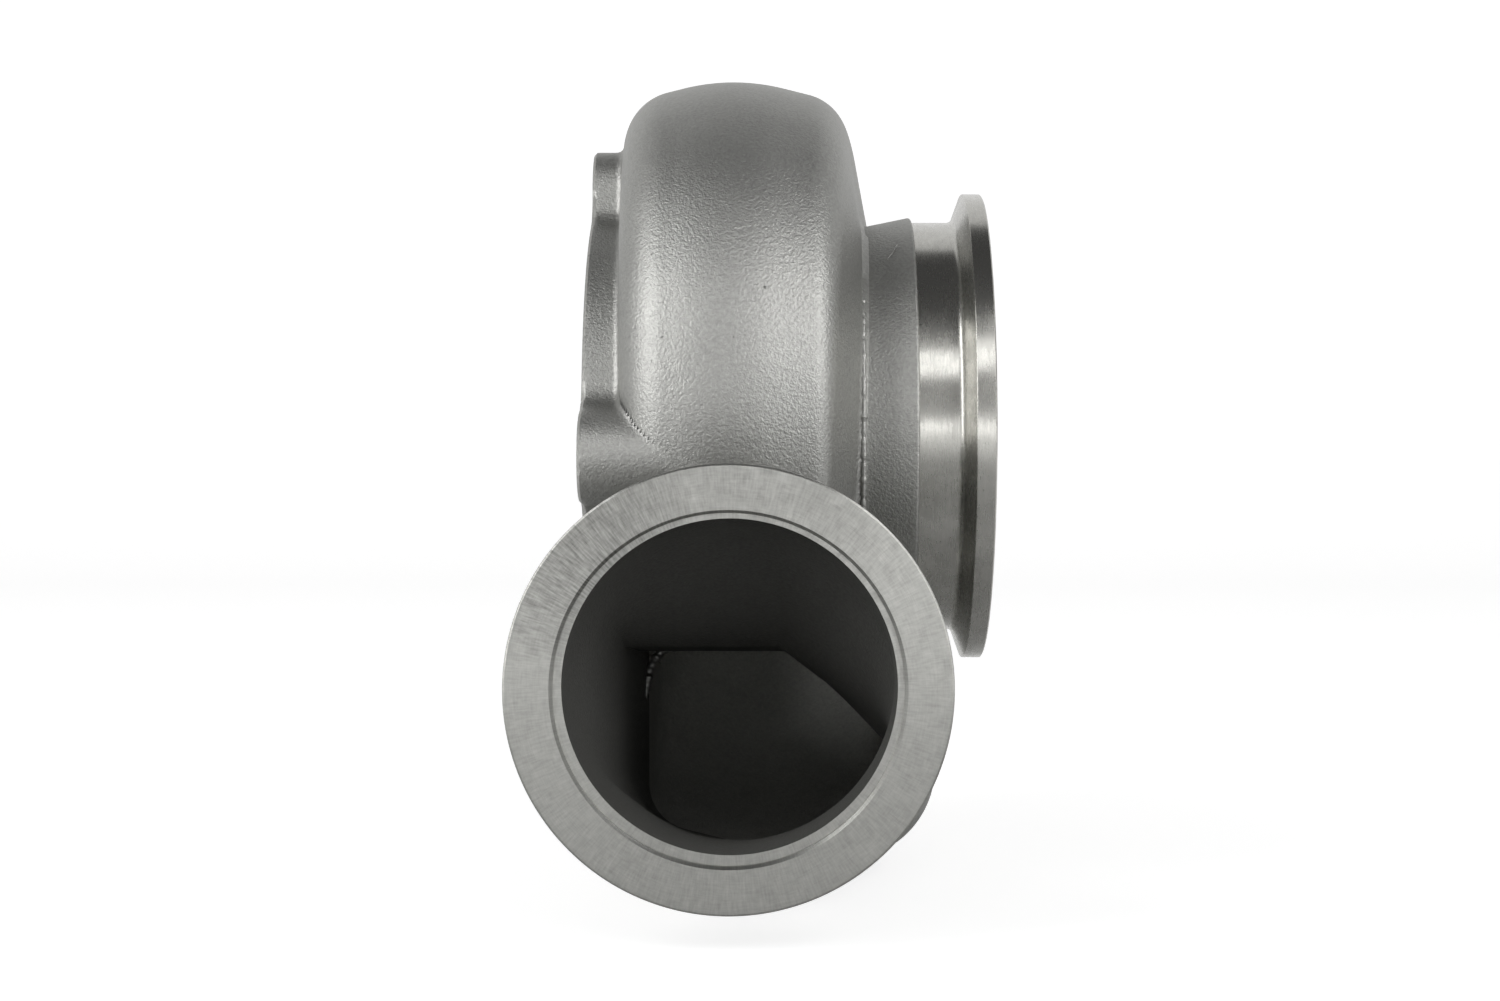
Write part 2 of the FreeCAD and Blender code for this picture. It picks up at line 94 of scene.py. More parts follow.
def through_knots(at: np.ndarray, knots: np.ndarray, values: np.ndarray) -> np.ndarray:
    """Cubic curves through rows of values at knots, whose slope at a knot is the mean trend round it.

    Args:
        at: Where the curves are wanted; outside the knots they hold their end values.
        knots: Rising positions of the rows.
        values: Rows of values, one for each knot.

    Returns:
        The curves' values, in the shape of at with a row's values as the last axis.
    """
    slopes = np.gradient(values, knots, axis=0)
    at = np.clip(at, knots[0], knots[-1])
    i = np.clip(np.searchsorted(knots, at, side="right") - 1, 0, len(knots) - 2)
    span = knots[i + 1] - knots[i]
    t = (at - knots[i]) / span
    rise = (t * t * (3.0 - 2.0 * t))[..., None]
    leave = (t * (1.0 - t) ** 2 * span)[..., None]
    reach = (t * t * (t - 1.0) * span)[..., None]
    return values[i] * (1.0 - rise) + values[i + 1] * rise + slopes[i] * leave + slopes[i + 1] * reach


def smooth_union(a: np.ndarray, b: np.ndarray, fillet: float) -> np.ndarray:
    """Union of two distance fields with a fillet.

    The result is the lesser of the two, less fillet * h * (1 - h), where h runs from 0 to 1 as the two fields
    cross within a fillet of each other.
    """
    h = np.clip(0.5 + 0.5 * (b - a) / fillet, 0.0, 1.0)
    return b * (1.0 - h) + a * h - fillet * h * (1.0 - h)


def trace(
    start: np.ndarray, direction: np.ndarray, inside: Field, reach: float, steps: int = 36
) -> np.ndarray:
    """Points where rays that start inside a field leave it.

    Each step moves a point along its ray by its present depth in the field, so it settles on the surface.

    Args:
        start: Ray starts, (..., 3).
        direction: Unit directions, (..., 3).
        inside: Distance field, negative inside.
        reach: Longest travel of a ray.
        steps: Number of steps.

    Returns:
        The points, (..., 3).
    """
    travel = np.zeros(start.shape[:-1])
    for _ in range(steps):
        depth = inside(start + direction * travel[..., None])
        travel = np.clip(travel - STEP_SHARE * depth, 0.0, reach)
    return start + direction * travel[..., None]


@dataclass(frozen=True)
class Section:
    """Section of the scroll: left wall, domed crown, right wall to a foot, and floor from foot to root.

    Lengths along the axis are measured from the centre housing face and radii from the turbine axis.
    """

    left: float
    crown: float
    dome: float
    shoulder: float
    foot: float
    foot_radius: float
    floor: float
    root: float
    left_round: float
    right_round: float
    foot_round: float
    root_round: float = 0.0

    def corners(self) -> np.ndarray:
        """Six sharp corners as rows of along, radius and round.

        The crown slopes up from both walls to a tip, whose round is the dome that touches the crown's radius.
        """
        tip = self.crown + self.dome * (1.0 / math.cos(CROWN_SLOPE) - 1.0)
        half = (self.shoulder - self.left) / 2
        edge = tip - half * math.tan(CROWN_SLOPE)
        return np.array(
            [
                (self.left, self.root, self.root_round),
                (self.left, edge, self.left_round),
                (self.left + half, tip, self.dome),
                (self.shoulder, edge, self.right_round),
                (self.foot, self.foot_radius, self.foot_round),
                (self.floor, self.root, self.root_round),
            ]
        )


@dataclass(frozen=True)
class Pipe:
    """Round end of the inlet leg: radius, centre along the axis and its drop below the axis."""

    radius: float
    along: float
    drop: float


class Duct:
    """Sections of the casting's outside, or of its gas passage, from the round inlet to the scroll's end."""

    STATIONS = np.arange(0.0, 331.0, 30.0)
    APPROACH = -38.0
    ROUND_END = -80.0
    # Directions from a section's middle in which the round end's edges meet those of the six-sided section
    SPLITS = np.radians((221.0, 155.0, 115.0, 52.0, 5.0, -80.0))
    SIDES = 6
    TOP = 180.0

    def __init__(
        self, approach: Section, throat: Section, top: Section, end: Section, last_station: float, pipe: Pipe
    ) -> None:
        """Work out the corners at every knot.

        Args:
            approach: Section of the inlet leg halfway to the throat.
            throat: Section straight below the turbine axis.
            top: Section over the top.
            end: Section at the last station.
            last_station: Station of the end, in degrees.
            pipe: Round end of the inlet leg.
        """
        self.pipe = pipe
        self.last_station = last_station
        self.knots = np.append(self.APPROACH, self.STATIONS * TRAVEL_PER_DEGREE)
        rows = [approach.corners()] + [
            self.between(throat, top, end, station) for station in self.STATIONS
        ]
        self.table = np.stack(rows)

    def between(self, throat: Section, top: Section, end: Section, station: float) -> np.ndarray:
        """Corners at a station, in proportion between the throat, the top and the end."""
        if station <= self.TOP:
            share = station / self.TOP
            return throat.corners() * (1 - share) + top.corners() * share
        share = (station - self.TOP) / (self.last_station - self.TOP)
        return top.corners() * (1 - share) + end.corners() * share

    def corners_at(self, travel: np.ndarray) -> np.ndarray:
        """Corners at points of the duct's length, (..., 6, 3)."""
        rows = through_knots(travel, self.knots, self.table.reshape(len(self.knots), -1))
        return rows.reshape(np.shape(travel) + (self.SIDES, 3))

    @staticmethod
    def edges(table: np.ndarray) -> tuple[np.ndarray, np.ndarray]:
        """Unit directions of the six sides, each of which starts at its corner, and their outward normals."""
        side = np.roll(table[..., :2], -1, axis=-2) - table[..., :2]
        side = side / np.linalg.norm(side, axis=-1, keepdims=True)
        return side, np.stack([-side[..., 1], side[..., 0]], axis=-1)

    @staticmethod
    def arc_centre(table: np.ndarray, normal: np.ndarray, i: int) -> np.ndarray:
        """Centre of the arc that rounds a corner, from the normals of the sides before and after it."""
        before, after = normal[..., i - 1, :], normal[..., i, :]
        spread = 1.0 + (before * after).sum(-1)
        return table[..., i, :2] - (table[..., i, 2] / spread)[..., None] * (before + after)

    def section_distance(self, along: np.ndarray, radius: np.ndarray, travel: np.ndarray) -> np.ndarray:
        """Distance to the six-sided section: the farthest side, or the arc's edge beside a rounded corner."""
        table = self.corners_at(travel)
        side, normal = self.edges(table)
        point = np.stack([along, radius], axis=-1)
        result = ((point[..., None, :] - table[..., :2]) * normal).sum(-1).max(-1)
        for i in range(self.SIDES):
            offset = point - self.arc_centre(table, normal, i)
            past_last = (offset * side[..., i - 1, :]).sum(-1) > 0
            before_next = (offset * side[..., i, :]).sum(-1) < 0
            arc = np.linalg.norm(offset, axis=-1) - table[..., i, 2]
            result = np.where(past_last & before_next, arc, result)
        return result

    def leg_distance(self, points: np.ndarray) -> np.ndarray:
        """Distance to the inlet leg: its round end's field turns into the section's field on the way in."""
        x, y, z = points[..., 0], points[..., 1], points[..., 2]
        circle = np.hypot(x - self.pipe.along, -z - self.pipe.drop) - self.pipe.radius
        section = self.section_distance(x, -z, np.clip(y, self.APPROACH, 0.0))
        share = clamp_ease(y, self.ROUND_END, self.APPROACH)
        return circle * (1.0 - share) + section * share

    def scroll_distance(self, points: np.ndarray) -> np.ndarray:
        """Distance to the scroll, whose section at a station is measured in that station's half-plane."""
        x, y, z = points[..., 0], points[..., 1], points[..., 2]
        station = np.degrees(np.arctan2(y, -z)) % 360.0
        beyond = np.where(station > self.TOP, np.maximum(station - self.last_station, 0.0), 0.0)
        distance = self.section_distance(x, np.hypot(y, z), station * TRAVEL_PER_DEGREE)
        return distance + beyond

    def middle(self, travel: np.ndarray, inner: float) -> tuple[np.ndarray, np.ndarray]:
        """Middle and half size of the sections, each (..., 2), without what lies below an inner radius."""
        table = self.corners_at(np.maximum(travel, self.APPROACH))
        low, high = table[..., 0, 0], table[..., 3:5, 0].mean(-1)
        bottom, top = np.maximum(table[..., 0, 1], inner), table[..., 2, 1]
        share = clamp_ease(travel, self.ROUND_END, self.APPROACH)[..., None]
        centre = np.stack([low + high, bottom + top], axis=-1) / 2
        half = np.stack([high - low, top - bottom], axis=-1) / 2
        round_centre = np.array([self.pipe.along, self.pipe.drop])
        centre = round_centre * (1 - share) + centre * share
        half = self.pipe.radius * (1 - share) + half * share
        return centre, half

    def outline(
        self, travel: np.ndarray, marks: tuple[float, ...], per_side: int, per_arc: int
    ) -> np.ndarray:
        """Section outlines as closed rings, (..., n, 2), that start at the right end of the root side.

        Straight sides and corner arcs each have their own share of the points, so that edges stay crisp. The
        root side has points at the given marks along the axis. Round sections have their points where the
        six-sided ones do, seen from the middle.

        Args:
            travel: Where the sections are.
            marks: Places along the axis where the root side has points.
            per_side: Points of a straight side.
            per_arc: Points of a corner's arc.

        Returns:
            Rings as rows of along and radius.
        """
        table = self.corners_at(np.maximum(travel, self.APPROACH))
        _, normal = self.edges(table)
        turn = np.linspace(0.0, 1.0, per_arc)[:, None]
        pieces, ends = [], []
        for i in range(self.SIDES):
            sweep = normal[..., i - 1, None, :] * (1 - turn) + normal[..., i, None, :] * turn
            sweep = sweep / np.linalg.norm(sweep, axis=-1, keepdims=True)
            rounds = table[..., i, 2][..., None, None]
            ends.append(self.arc_centre(table, normal, i)[..., None, :] + rounds * sweep)
        for i in range(self.SIDES):
            start, stop = ends[i][..., -1, :], ends[(i + 1) % self.SIDES][..., 0, :]
            if i == self.SIDES - 1:
                marked = [np.full(start.shape[:-1], mark) for mark in marks]
                alongs = [start[..., 0], *marked, stop[..., 0]]
                run = self.in_steps(alongs, per_side)
                straight = np.stack([run, np.broadcast_to(start[..., 1:], run.shape)], axis=-1)
            else:
                step = np.linspace(0.0, 1.0, per_side + 1)[:-1, None]
                straight = start[..., None, :] * (1 - step) + stop[..., None, :] * step
            pieces += [ends[i][..., :-1, :], straight]
        ring = np.concatenate(pieces, axis=-2)
        share = clamp_ease(travel, self.ROUND_END, self.APPROACH)[..., None, None]
        return ring * share + self.round_ring(per_side, per_arc, len(marks)) * (1 - share)

    @staticmethod
    def in_steps(stops: list[np.ndarray], count: int) -> np.ndarray:
        """Values that run from stop to stop in equal steps, (..., n), without the last one."""
        share = np.linspace(0.0, 1.0, count + 1)[:-1]
        runs = [a[..., None] * (1 - share) + b[..., None] * share for a, b in zip(stops, stops[1:])]
        return np.concatenate(runs, axis=-1)

    def round_ring(self, per_side: int, per_arc: int, marks: int) -> np.ndarray:
        """Round section's ring, with as many points between two splits as the six-sided section has there."""
        angles = []
        for i in range(self.SIDES):
            last = i == self.SIDES - 1
            count = per_arc - 1 + per_side * (marks + 1 if last else 1)
            start, stop = self.SPLITS[i], self.SPLITS[(i + 1) % self.SIDES]
            if last:
                stop -= 2 * math.pi
            angles.append(start + (stop - start) * np.arange(count) / count)
        angle = np.concatenate(angles)
        ring = np.stack([np.cos(angle), np.sin(angle)], axis=-1) * self.pipe.radius
        return ring + np.array([self.pipe.along, self.pipe.drop])


def duct_points(travel: np.ndarray, along: np.ndarray, radius: np.ndarray) -> np.ndarray:
    """Points of a duct from its length and section place.

    Before the throat a section lies in a plane across Y, and after it in the half-plane of its station,
    turned about the X axis.
    """
    turn = np.radians(np.maximum(travel, 0.0) / TRAVEL_PER_DEGREE)
    forward = np.minimum(travel, 0.0)
    return np.stack([along, forward + radius * np.sin(turn), -radius * np.cos(turn)], axis=-1)


@dataclass
class CastingForm:
    """Driving sizes of the casting, and the distance fields of its outside and of the space inside it."""

    wall: float = 5.0
    hub_radius: float = 46.3
    cone_start: float = 61.8
    cone_end: float = 73.0
    cone_end_radius: float = 48.6
    rim_radius: float = 50.0
    rim_width: float = 9.0
    boss_count: int = 4
    boss_radius: float = 10.2
    boss_length: float = 30.0
    bolt_circle_radius: float = 53.4
    bolt_first_station: float = 6.8
    lobe_fillet: float = 7.0
    cast_fillet: float = 2.0
    crease_fillet: float = 6.0
    nozzle_start: float = 14.0
    nozzle_end: float = 26.0
    nozzle_radius: float = 42.0
    core_along: float = 0.2
    core_up: float = 0.5
    inlet_along: float = 32.6
    inlet_drop: float = 51.65
    hub_start: float = 2.0
    root_radius: float = 40.0
    passage_floor: float = 30.0
    wheel_along: tuple[float, ...] = (8.0, 8.1, 26.0, 34.0)
    wheel_radius: tuple[float, ...] = (42.5, 42.0, 42.0, 40.0)
    outside: Duct = field(init=False)
    passage: Duct = field(init=False)

    def __post_init__(self) -> None:
        """Set out the outside and, one wall inside it, the gas passage."""
        wall = self.wall
        self.outside = Duct(
            approach=Section(4.0, 96.5, 48.0, 75.0, 76.5, 70.0, 41.0, 43.5, 20.0, 23.0, 12.0, root_round=8.0),
            throat=Section(7.0, 104.0, 48.0, 78.0, 79.0, 75.0, 40.0, 40.0, 16.0, 21.0, 10.0),
            top=Section(6.7, 80.4, 48.0, 57.3, 62.5, 42.0, 55.0, 40.0, 13.0, 12.0, 1.5),
            end=Section(10.0, 56.5, 36.0, 50.0, 62.3, 42.0, 55.0, 40.0, 12.5, 3.0, 1.5),
            last_station=330.0,
            pipe=Pipe(38.1, self.inlet_along, self.inlet_drop),
        )
        self.passage = Duct(
            approach=Section(4.0 + wall, 91.5, 43.0, 70.0, 71.5, 75.0, 46.0, 48.5, 15.0, 18.0, 12.0),
            throat=Section(7.0 + wall, 99.0, 43.0, 73.0, 74.0, 78.0, 44.0, 51.5, 11.0, 16.0, 10.0),
            top=Section(6.7 + wall, 75.4, 43.0, 52.3, 56.0, 51.0, 30.0, 40.0, 8.0, 7.0, 6.0),
            end=Section(10.0 + wall, 48.0, 31.0, 40.0, 44.0, 44.5, 30.0, 40.0, 3.0, 3.0, 1.0),
            last_station=345.0,
            pipe=Pipe(33.3, self.inlet_along + self.core_along, self.inlet_drop - self.core_up),
        )
        # Past the throat the passage's floor falls from the tongue to the root, where the nozzle opens it
        self.passage.table[2:, (0, 5), 1] = self.root_radius
        self.passage.table[2:, 5, 0] = self.passage_floor

    def boss_stations(self) -> np.ndarray:
        """Stations of the bolt bosses, in degrees."""
        return self.bolt_first_station + 360.0 / self.boss_count * np.arange(self.boss_count)

    def hub_distance(self, points: np.ndarray) -> np.ndarray:
        """Distance to the hub and its cone, as the farther of their outline and their ends."""
        x, radius = points[..., 0], np.hypot(points[..., 1], points[..., 2])
        rise = np.interp(x, (self.cone_start, self.cone_end), (self.hub_radius, self.cone_end_radius))
        return np.maximum(np.maximum(radius - rise, x - self.cone_end), self.hub_start - x)

    def flange_distance(self, points: np.ndarray) -> np.ndarray:
        """Distance to the rim and its bosses, which grow out of it with fillets."""
        x, y, z = points[..., 0], points[..., 1], points[..., 2]
        result = np.maximum(np.hypot(y, z) - self.rim_radius, x - self.rim_width)
        for station in np.radians(self.boss_stations()):
            across = y - self.bolt_circle_radius * math.sin(station)
            up = z + self.bolt_circle_radius * math.cos(station)
            boss = np.maximum(np.hypot(across, up) - self.boss_radius, x - self.boss_length)
            result = smooth_union(result, boss, self.lobe_fillet)
        return np.maximum(result, -x)

    def shell_distance(self, points: np.ndarray) -> np.ndarray:
        """Distance to the outside of the inlet leg and scroll, with a fillet where the tail meets the leg."""
        scroll = self.outside.scroll_distance(points)
        leg = smooth_union(self.outside.leg_distance(points), scroll, self.crease_fillet)
        return np.where(points[..., 1] < 0.0, leg, scroll)

    def void_distance(self, points: np.ndarray) -> np.ndarray:
        """Distance to the space inside: gas passage, and turbine wheel space as one wide bore."""
        x, y = points[..., 0], points[..., 1]
        scroll = self.passage.scroll_distance(points)
        leg = np.minimum(self.passage.leg_distance(points), scroll)
        wheel = np.hypot(y, points[..., 2]) - np.interp(x, self.wheel_along, self.wheel_radius)
        return np.minimum(np.where(y < 0.0, leg, scroll), wheel)


@dataclass
class Patch:
    """Grid of points for part of a piece: rows by columns by three, in millimetres."""

    points: np.ndarray
    wrap: bool = False
    flip: bool = False
    keep: np.ndarray | None = None


def add_piece(name: str, patches: list[Patch], material: bpy.types.Material) -> bpy.types.Object:
    """Mesh object made of grids, which rides on the casting's body.

    Neighbouring rows and columns of a grid are joined by four-sided faces. Points that two grids share are
    merged, so that seams and poles are closed, and edges sharper than the crease angle are shaded sharp.

    Args:
        name: Name of the piece.
        patches: Its grids.
        material: Its material.

    Returns:
        The new object.
    """
    corners, faces, total = [], [], 0
    for patch in patches:
        rows, columns = patch.points.shape[:2]
        number = np.arange(rows * columns).reshape(rows, columns)
        if patch.wrap:
            number = np.concatenate([number, number[:, :1]], axis=1)
        quads = np.stack([number[:-1, :-1], number[1:, :-1], number[1:, 1:], number[:-1, 1:]], axis=-1)
        quads = quads.reshape(-1, 4)
        if patch.keep is not None:
            quads = quads[patch.keep.reshape(-1)[quads].all(axis=1)]
        if patch.flip:
            quads = quads[:, ::-1]
        corners.append(patch.points.reshape(-1, 3) * MM)
        faces.append(quads + total)
        total += rows * columns
    corners, faces = np.concatenate(corners), np.concatenate(faces)
    corners, faces = merged(corners, faces)
    mesh = bpy.data.meshes.new(name)
    mesh.from_pydata(corners, [], faces)
    mesh.validate()
    mesh.shade_smooth()
    mesh.set_sharp_from_angle(angle=math.radians(CREASE_DEGREES))
    mesh.materials.append(material)
    piece = bpy.data.objects.new(name, mesh)
    bpy.context.scene.collection.objects.link(piece)
    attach(piece, "root")
    LOG.info("%s: %d faces", name, len(faces))
    return piece


def merged(corners: np.ndarray, faces: np.ndarray) -> tuple[np.ndarray, list[list[int]]]:
    """Points closer than a thousandth of a millimetre made one, and faces without doubled points."""
    keys = np.round(corners / (0.001 * MM)).astype(np.int64)
    _, first, number = np.unique(keys, axis=0, return_index=True, return_inverse=True)
    faces = number.reshape(-1)[faces]
    used, faces = np.unique(faces, return_inverse=True)
    faces = faces.reshape(-1, 4)
    kept = []
    for face in faces.tolist():
        ring = [point for i, point in enumerate(face) if point != face[i - 1]]
        if len(ring) > 2 and len(set(ring)) == len(ring):
            kept.append(ring)
    return corners[first][used], kept


def rounded_profile(corners: list[tuple[float, float, float]], arc_points: int = 7) -> np.ndarray:
    """Open line through corners, each rounded by an arc tangent to its two sides.

    Args:
        corners: Along, radius and round of each corner; ends have no round.
        arc_points: Points of each arc.

    Returns:
        The line's points, (n, 2).
    """
    spots = np.array([corner[:2] for corner in corners])
    line = [spots[:1]]
    for i in range(1, len(corners) - 1):
        size = corners[i][2]
        if size <= 0.0:
            line.append(spots[i : i + 1])
            continue
        back, ahead = spots[i - 1] - spots[i], spots[i + 1] - spots[i]
        back, ahead = back / np.linalg.norm(back), ahead / np.linalg.norm(ahead)
        half = math.acos(float(np.clip(back @ ahead, -1.0, 1.0))) / 2
        middle = (back + ahead) / np.linalg.norm(back + ahead)
        centre = spots[i] + middle * size / math.sin(half)
        start = spots[i] + back * size / math.tan(half) - centre
        stop = spots[i] + ahead * size / math.tan(half) - centre
        turn = np.linspace(0.0, 1.0, arc_points)[:, None]
        sweep = start * (1 - turn) + stop * turn
        line.append(centre + sweep / np.linalg.norm(sweep, axis=1, keepdims=True) * size)
    line.append(spots[-1:])
    return np.concatenate(line)


def finer(line: np.ndarray, longest: float) -> np.ndarray:
    """Line with its long runs cut into equal parts no longer than a given length."""
    runs = []
    for start, stop in zip(line[:-1], line[1:]):
        count = max(1, math.ceil(float(np.linalg.norm(stop - start)) / longest))
        share = np.arange(count)[:, None] / count
        runs.append(start * (1 - share) + stop * share)
    return np.concatenate(runs + [line[-1:]])


def turned(line: np.ndarray, axis: Axis, form: CastingForm, angles: np.ndarray) -> np.ndarray:
    """Grid of a profile carried round an axis: rows along the profile, columns round the axis."""
    along, radius = line[:, :1], line[:, 1:]
    cos, sin = np.cos(angles), np.sin(angles)
    if axis is Axis.TURBINE:
        return np.stack(np.broadcast_arrays(along, radius * sin, -radius * cos), axis=-1)
    across = form.inlet_along + radius * sin
    up = -form.inlet_drop - radius * cos
    return np.stack(np.broadcast_arrays(across, along, up), axis=-1)


def full_turn(count: int) -> np.ndarray:
    """Angles of a whole turn, in radians, without the last."""
    return np.arange(count) * (2 * math.pi / count)


def clamp_profile(face: float, neck: float, rim: float, sign: float) -> list[tuple[float, float, float]]:
    """Corners of a clamp flange from its neck over its slope and land to the edge of its face."""
    land, slope, chamfer, chamfer_depth = 4.3, math.radians(20.0), 0.4, 0.3
    root_round, land_round, edge_round = 1.6, 0.25, 0.1
    start = face - sign * land
    return [
        (start - sign * (rim - neck) * math.tan(slope), neck, root_round),
        (start, rim, land_round),
        (face - sign * chamfer_depth, rim, edge_round),
        (face, rim - chamfer, edge_round),
    ]


@dataclass
class ScrollCasting:
    """Outside of the inlet leg and of the scroll, as one skin with fillets into the hub."""

    form: CastingForm
    first_travel: float = -88.0
    last_station: float = 334.0
    row_step: float = 1.15
    columns: int = 226
    ray_reach: float = 80.0
    void_margin: float = 0.4

    def field(self, on_leg: np.ndarray) -> Field:
        """Field that a row's rays leave: its own body joined to its neighbours, up to a fillet's reach."""
        form = self.form

        def inside(points: np.ndarray) -> np.ndarray:
            leg = form.outside.leg_distance(points)
            scroll = form.outside.scroll_distance(points)
            own = np.where(on_leg, leg, scroll)
            joined = np.where(on_leg, smooth_union(leg, scroll, form.crease_fillet), scroll)
            joined = smooth_union(joined, form.hub_distance(points), form.cast_fillet)
            reach = np.where(on_leg, form.crease_fillet, form.cast_fillet)
            return np.maximum(joined, own - FILLET_REACH * reach)

        return inside

    def skin(self) -> tuple[np.ndarray, np.ndarray]:
        """Skin's points, rows along the duct by columns round it, and which of them aren't in the void.

        A row's rays start at the middle of its section, spread like the spokes of an ellipse as wide and as
        high as the section, and end on the casting's surface.
        """
        form = self.form
        last = self.last_station * TRAVEL_PER_DEGREE
        travel = np.linspace(self.first_travel, last, round((last - self.first_travel) / self.row_step) + 1)
        centre, half = form.outside.middle(travel, form.hub_radius)
        spoke = full_turn(self.columns)
        along, radius = half[:, :1] * np.cos(spoke), half[:, 1:] * np.sin(spoke)
        travel = travel[:, None]
        start = duct_points(travel, centre[:, :1], centre[:, 1:])
        direction = duct_points(travel, centre[:, :1] + along, centre[:, 1:] + radius) - start
        direction = direction / np.linalg.norm(direction, axis=-1, keepdims=True)
        start = np.broadcast_to(start, direction.shape)
        points = trace(start, direction, self.field(travel < 0.0), self.ray_reach)
        return points, form.void_distance(points) > self.void_margin

    def build(self, material: bpy.types.Material) -> bpy.types.Object:
        """Make the skin."""
        points, keep = self.skin()
        return add_piece("scroll_casting", [Patch(points, wrap=True, keep=keep)], material)


@dataclass
class GasPassage:
    """Cast space that the gas runs through, from the inlet step to the scroll's tail, seen from inside.

    It is two pieces that meet at the throat, because the core's skin is painted lighter there: painted light
    deep inside, where little light reaches.
    """

    form: CastingForm
    first_travel: float = -93.6
    row_step: float = 1.8
    per_side: int = 12
    per_arc: int = 8
    least_wall: float = 3.0
    leg_end: float = -20.0
    nozzle_margin: float = 0.01
    floor_margin: float = 0.1

    def within_wall(self, points: np.ndarray, on_leg: np.ndarray) -> np.ndarray:
        """Passage's points, with the leg's moved inwards where the wall would be too thin."""
        depth = -self.form.outside.leg_distance(points)
        short = np.where(on_leg, np.clip(self.least_wall - depth, 0.0, None), 0.0)
        inward = points.mean(axis=-2, keepdims=True) - points
        return points + inward / np.linalg.norm(inward, axis=-1, keepdims=True) * short[..., None]

    def build(self, mouth_skin: bpy.types.Material, deep_skin_painted_light: bpy.types.Material) -> list[bpy.types.Object]:
        """Make the passage, open where the nozzle meets its floor."""
        form, duct = self.form, self.form.passage
        last = duct.last_station * TRAVEL_PER_DEGREE
        travel = np.linspace(self.first_travel, last, round((last - self.first_travel) / self.row_step) + 1)
        marks = (form.nozzle_end, form.nozzle_start)
        ring = duct.outline(travel, marks, self.per_side, self.per_arc)
        points = duct_points(travel[:, None], ring[..., 0], ring[..., 1])
        points = self.within_wall(points, travel[:, None] < self.leg_end)
        after_start = ring[..., 0] > form.nozzle_start + self.nozzle_margin
        before_end = ring[..., 0] < form.nozzle_end - self.nozzle_margin
        on_floor = ring[..., 1] < form.nozzle_radius - self.floor_margin
        keep = ~(after_start & before_end & on_floor & (travel[:, None] > 0.0))
        tail = np.stack([points[-1], np.broadcast_to(points[-1].mean(0), points[-1].shape)])
        throat = int(np.searchsorted(travel, 0.0)) + 1
        mouth = Patch(points[:throat], wrap=True, flip=True, keep=keep[:throat])
        deep = Patch(points[throat - 1 :], wrap=True, flip=True, keep=keep[throat - 1 :])
        closing = Patch(tail, wrap=True, flip=True)
        return [
            add_piece("inlet_passage", [mouth], mouth_skin),
            add_piece("scroll_passage", [deep, closing], deep_skin_painted_light),
        ]


@dataclass
class OutletCone:
    """Cast hub and cone between the scroll and the turned outlet neck."""

    form: CastingForm
    turns: int = 360
    inner_radius: float = 44.6
    edge_round: float = 0.6
    cone_round: float = 6.0
    hidden_length: float = 10.0
    seen_length: float = 8.0
    hidden_stations: tuple[float, ...] = (0, 60, 180, 330, 350, 360)
    hidden_starts: tuple[float, ...] = (45.0, 47.0, 55.0, 52.0, 46.0, 45.0)

    def build(self, material: bpy.types.Material) -> bpy.types.Object:
        """Make the cone, whose hidden end keeps inside the scroll's wall all the way round."""
        form = self.form
        hidden = form.cone_start - self.hidden_length
        angles = full_turn(self.turns)
        start = np.interp(np.degrees(angles), self.hidden_stations, self.hidden_starts)
        corners = [
            (hidden, self.inner_radius, 0.0),
            (hidden, form.hub_radius, 0.0),
            (form.cone_start, form.hub_radius, self.cone_round),
            (form.cone_end, form.cone_end_radius, self.edge_round),
            (form.cone_end, self.inner_radius, 0.0),
        ]
        line = finer(rounded_profile(corners), 1.5)
        points = turned(line, Axis.TURBINE, form, angles)
        early = line[:, 0] < form.cone_start - self.seen_length
        points[early, :, 0] += start - hidden
        closed = np.concatenate([points, points[:1]])
        return add_piece("outlet_cone", [Patch(closed, wrap=True, flip=True)], material)


@dataclass
class OutletFlange:
    """Turned outlet neck with its clamp flange."""

    form: CastingForm
    face: float = 89.2
    neck_radius: float = 47.4
    rim_radius: float = 54.0
    step_radius: float = 43.5
    step_chamfer: float = 0.4
    inner_radius: float = 45.0
    cone_overlap: float = 1.0
    turns: int = 360

    def build(self, material: bpy.types.Material) -> bpy.types.Object:
        """Make the neck, the flange and its face."""
        start = self.form.cone_end - self.cone_overlap
        corners = [(start, self.inner_radius, 0.0), (start, self.neck_radius, 0.0)]
        corners += clamp_profile(self.face, self.neck_radius, self.rim_radius, 1.0)
        corners += [(self.face, self.step_radius + self.step_chamfer, 0.0)]
        line = finer(rounded_profile(corners), 2.0)
        points = turned(line, Axis.TURBINE, self.form, full_turn(self.turns))
        return add_piece("outlet_flange", [Patch(points, wrap=True, flip=True)], material)


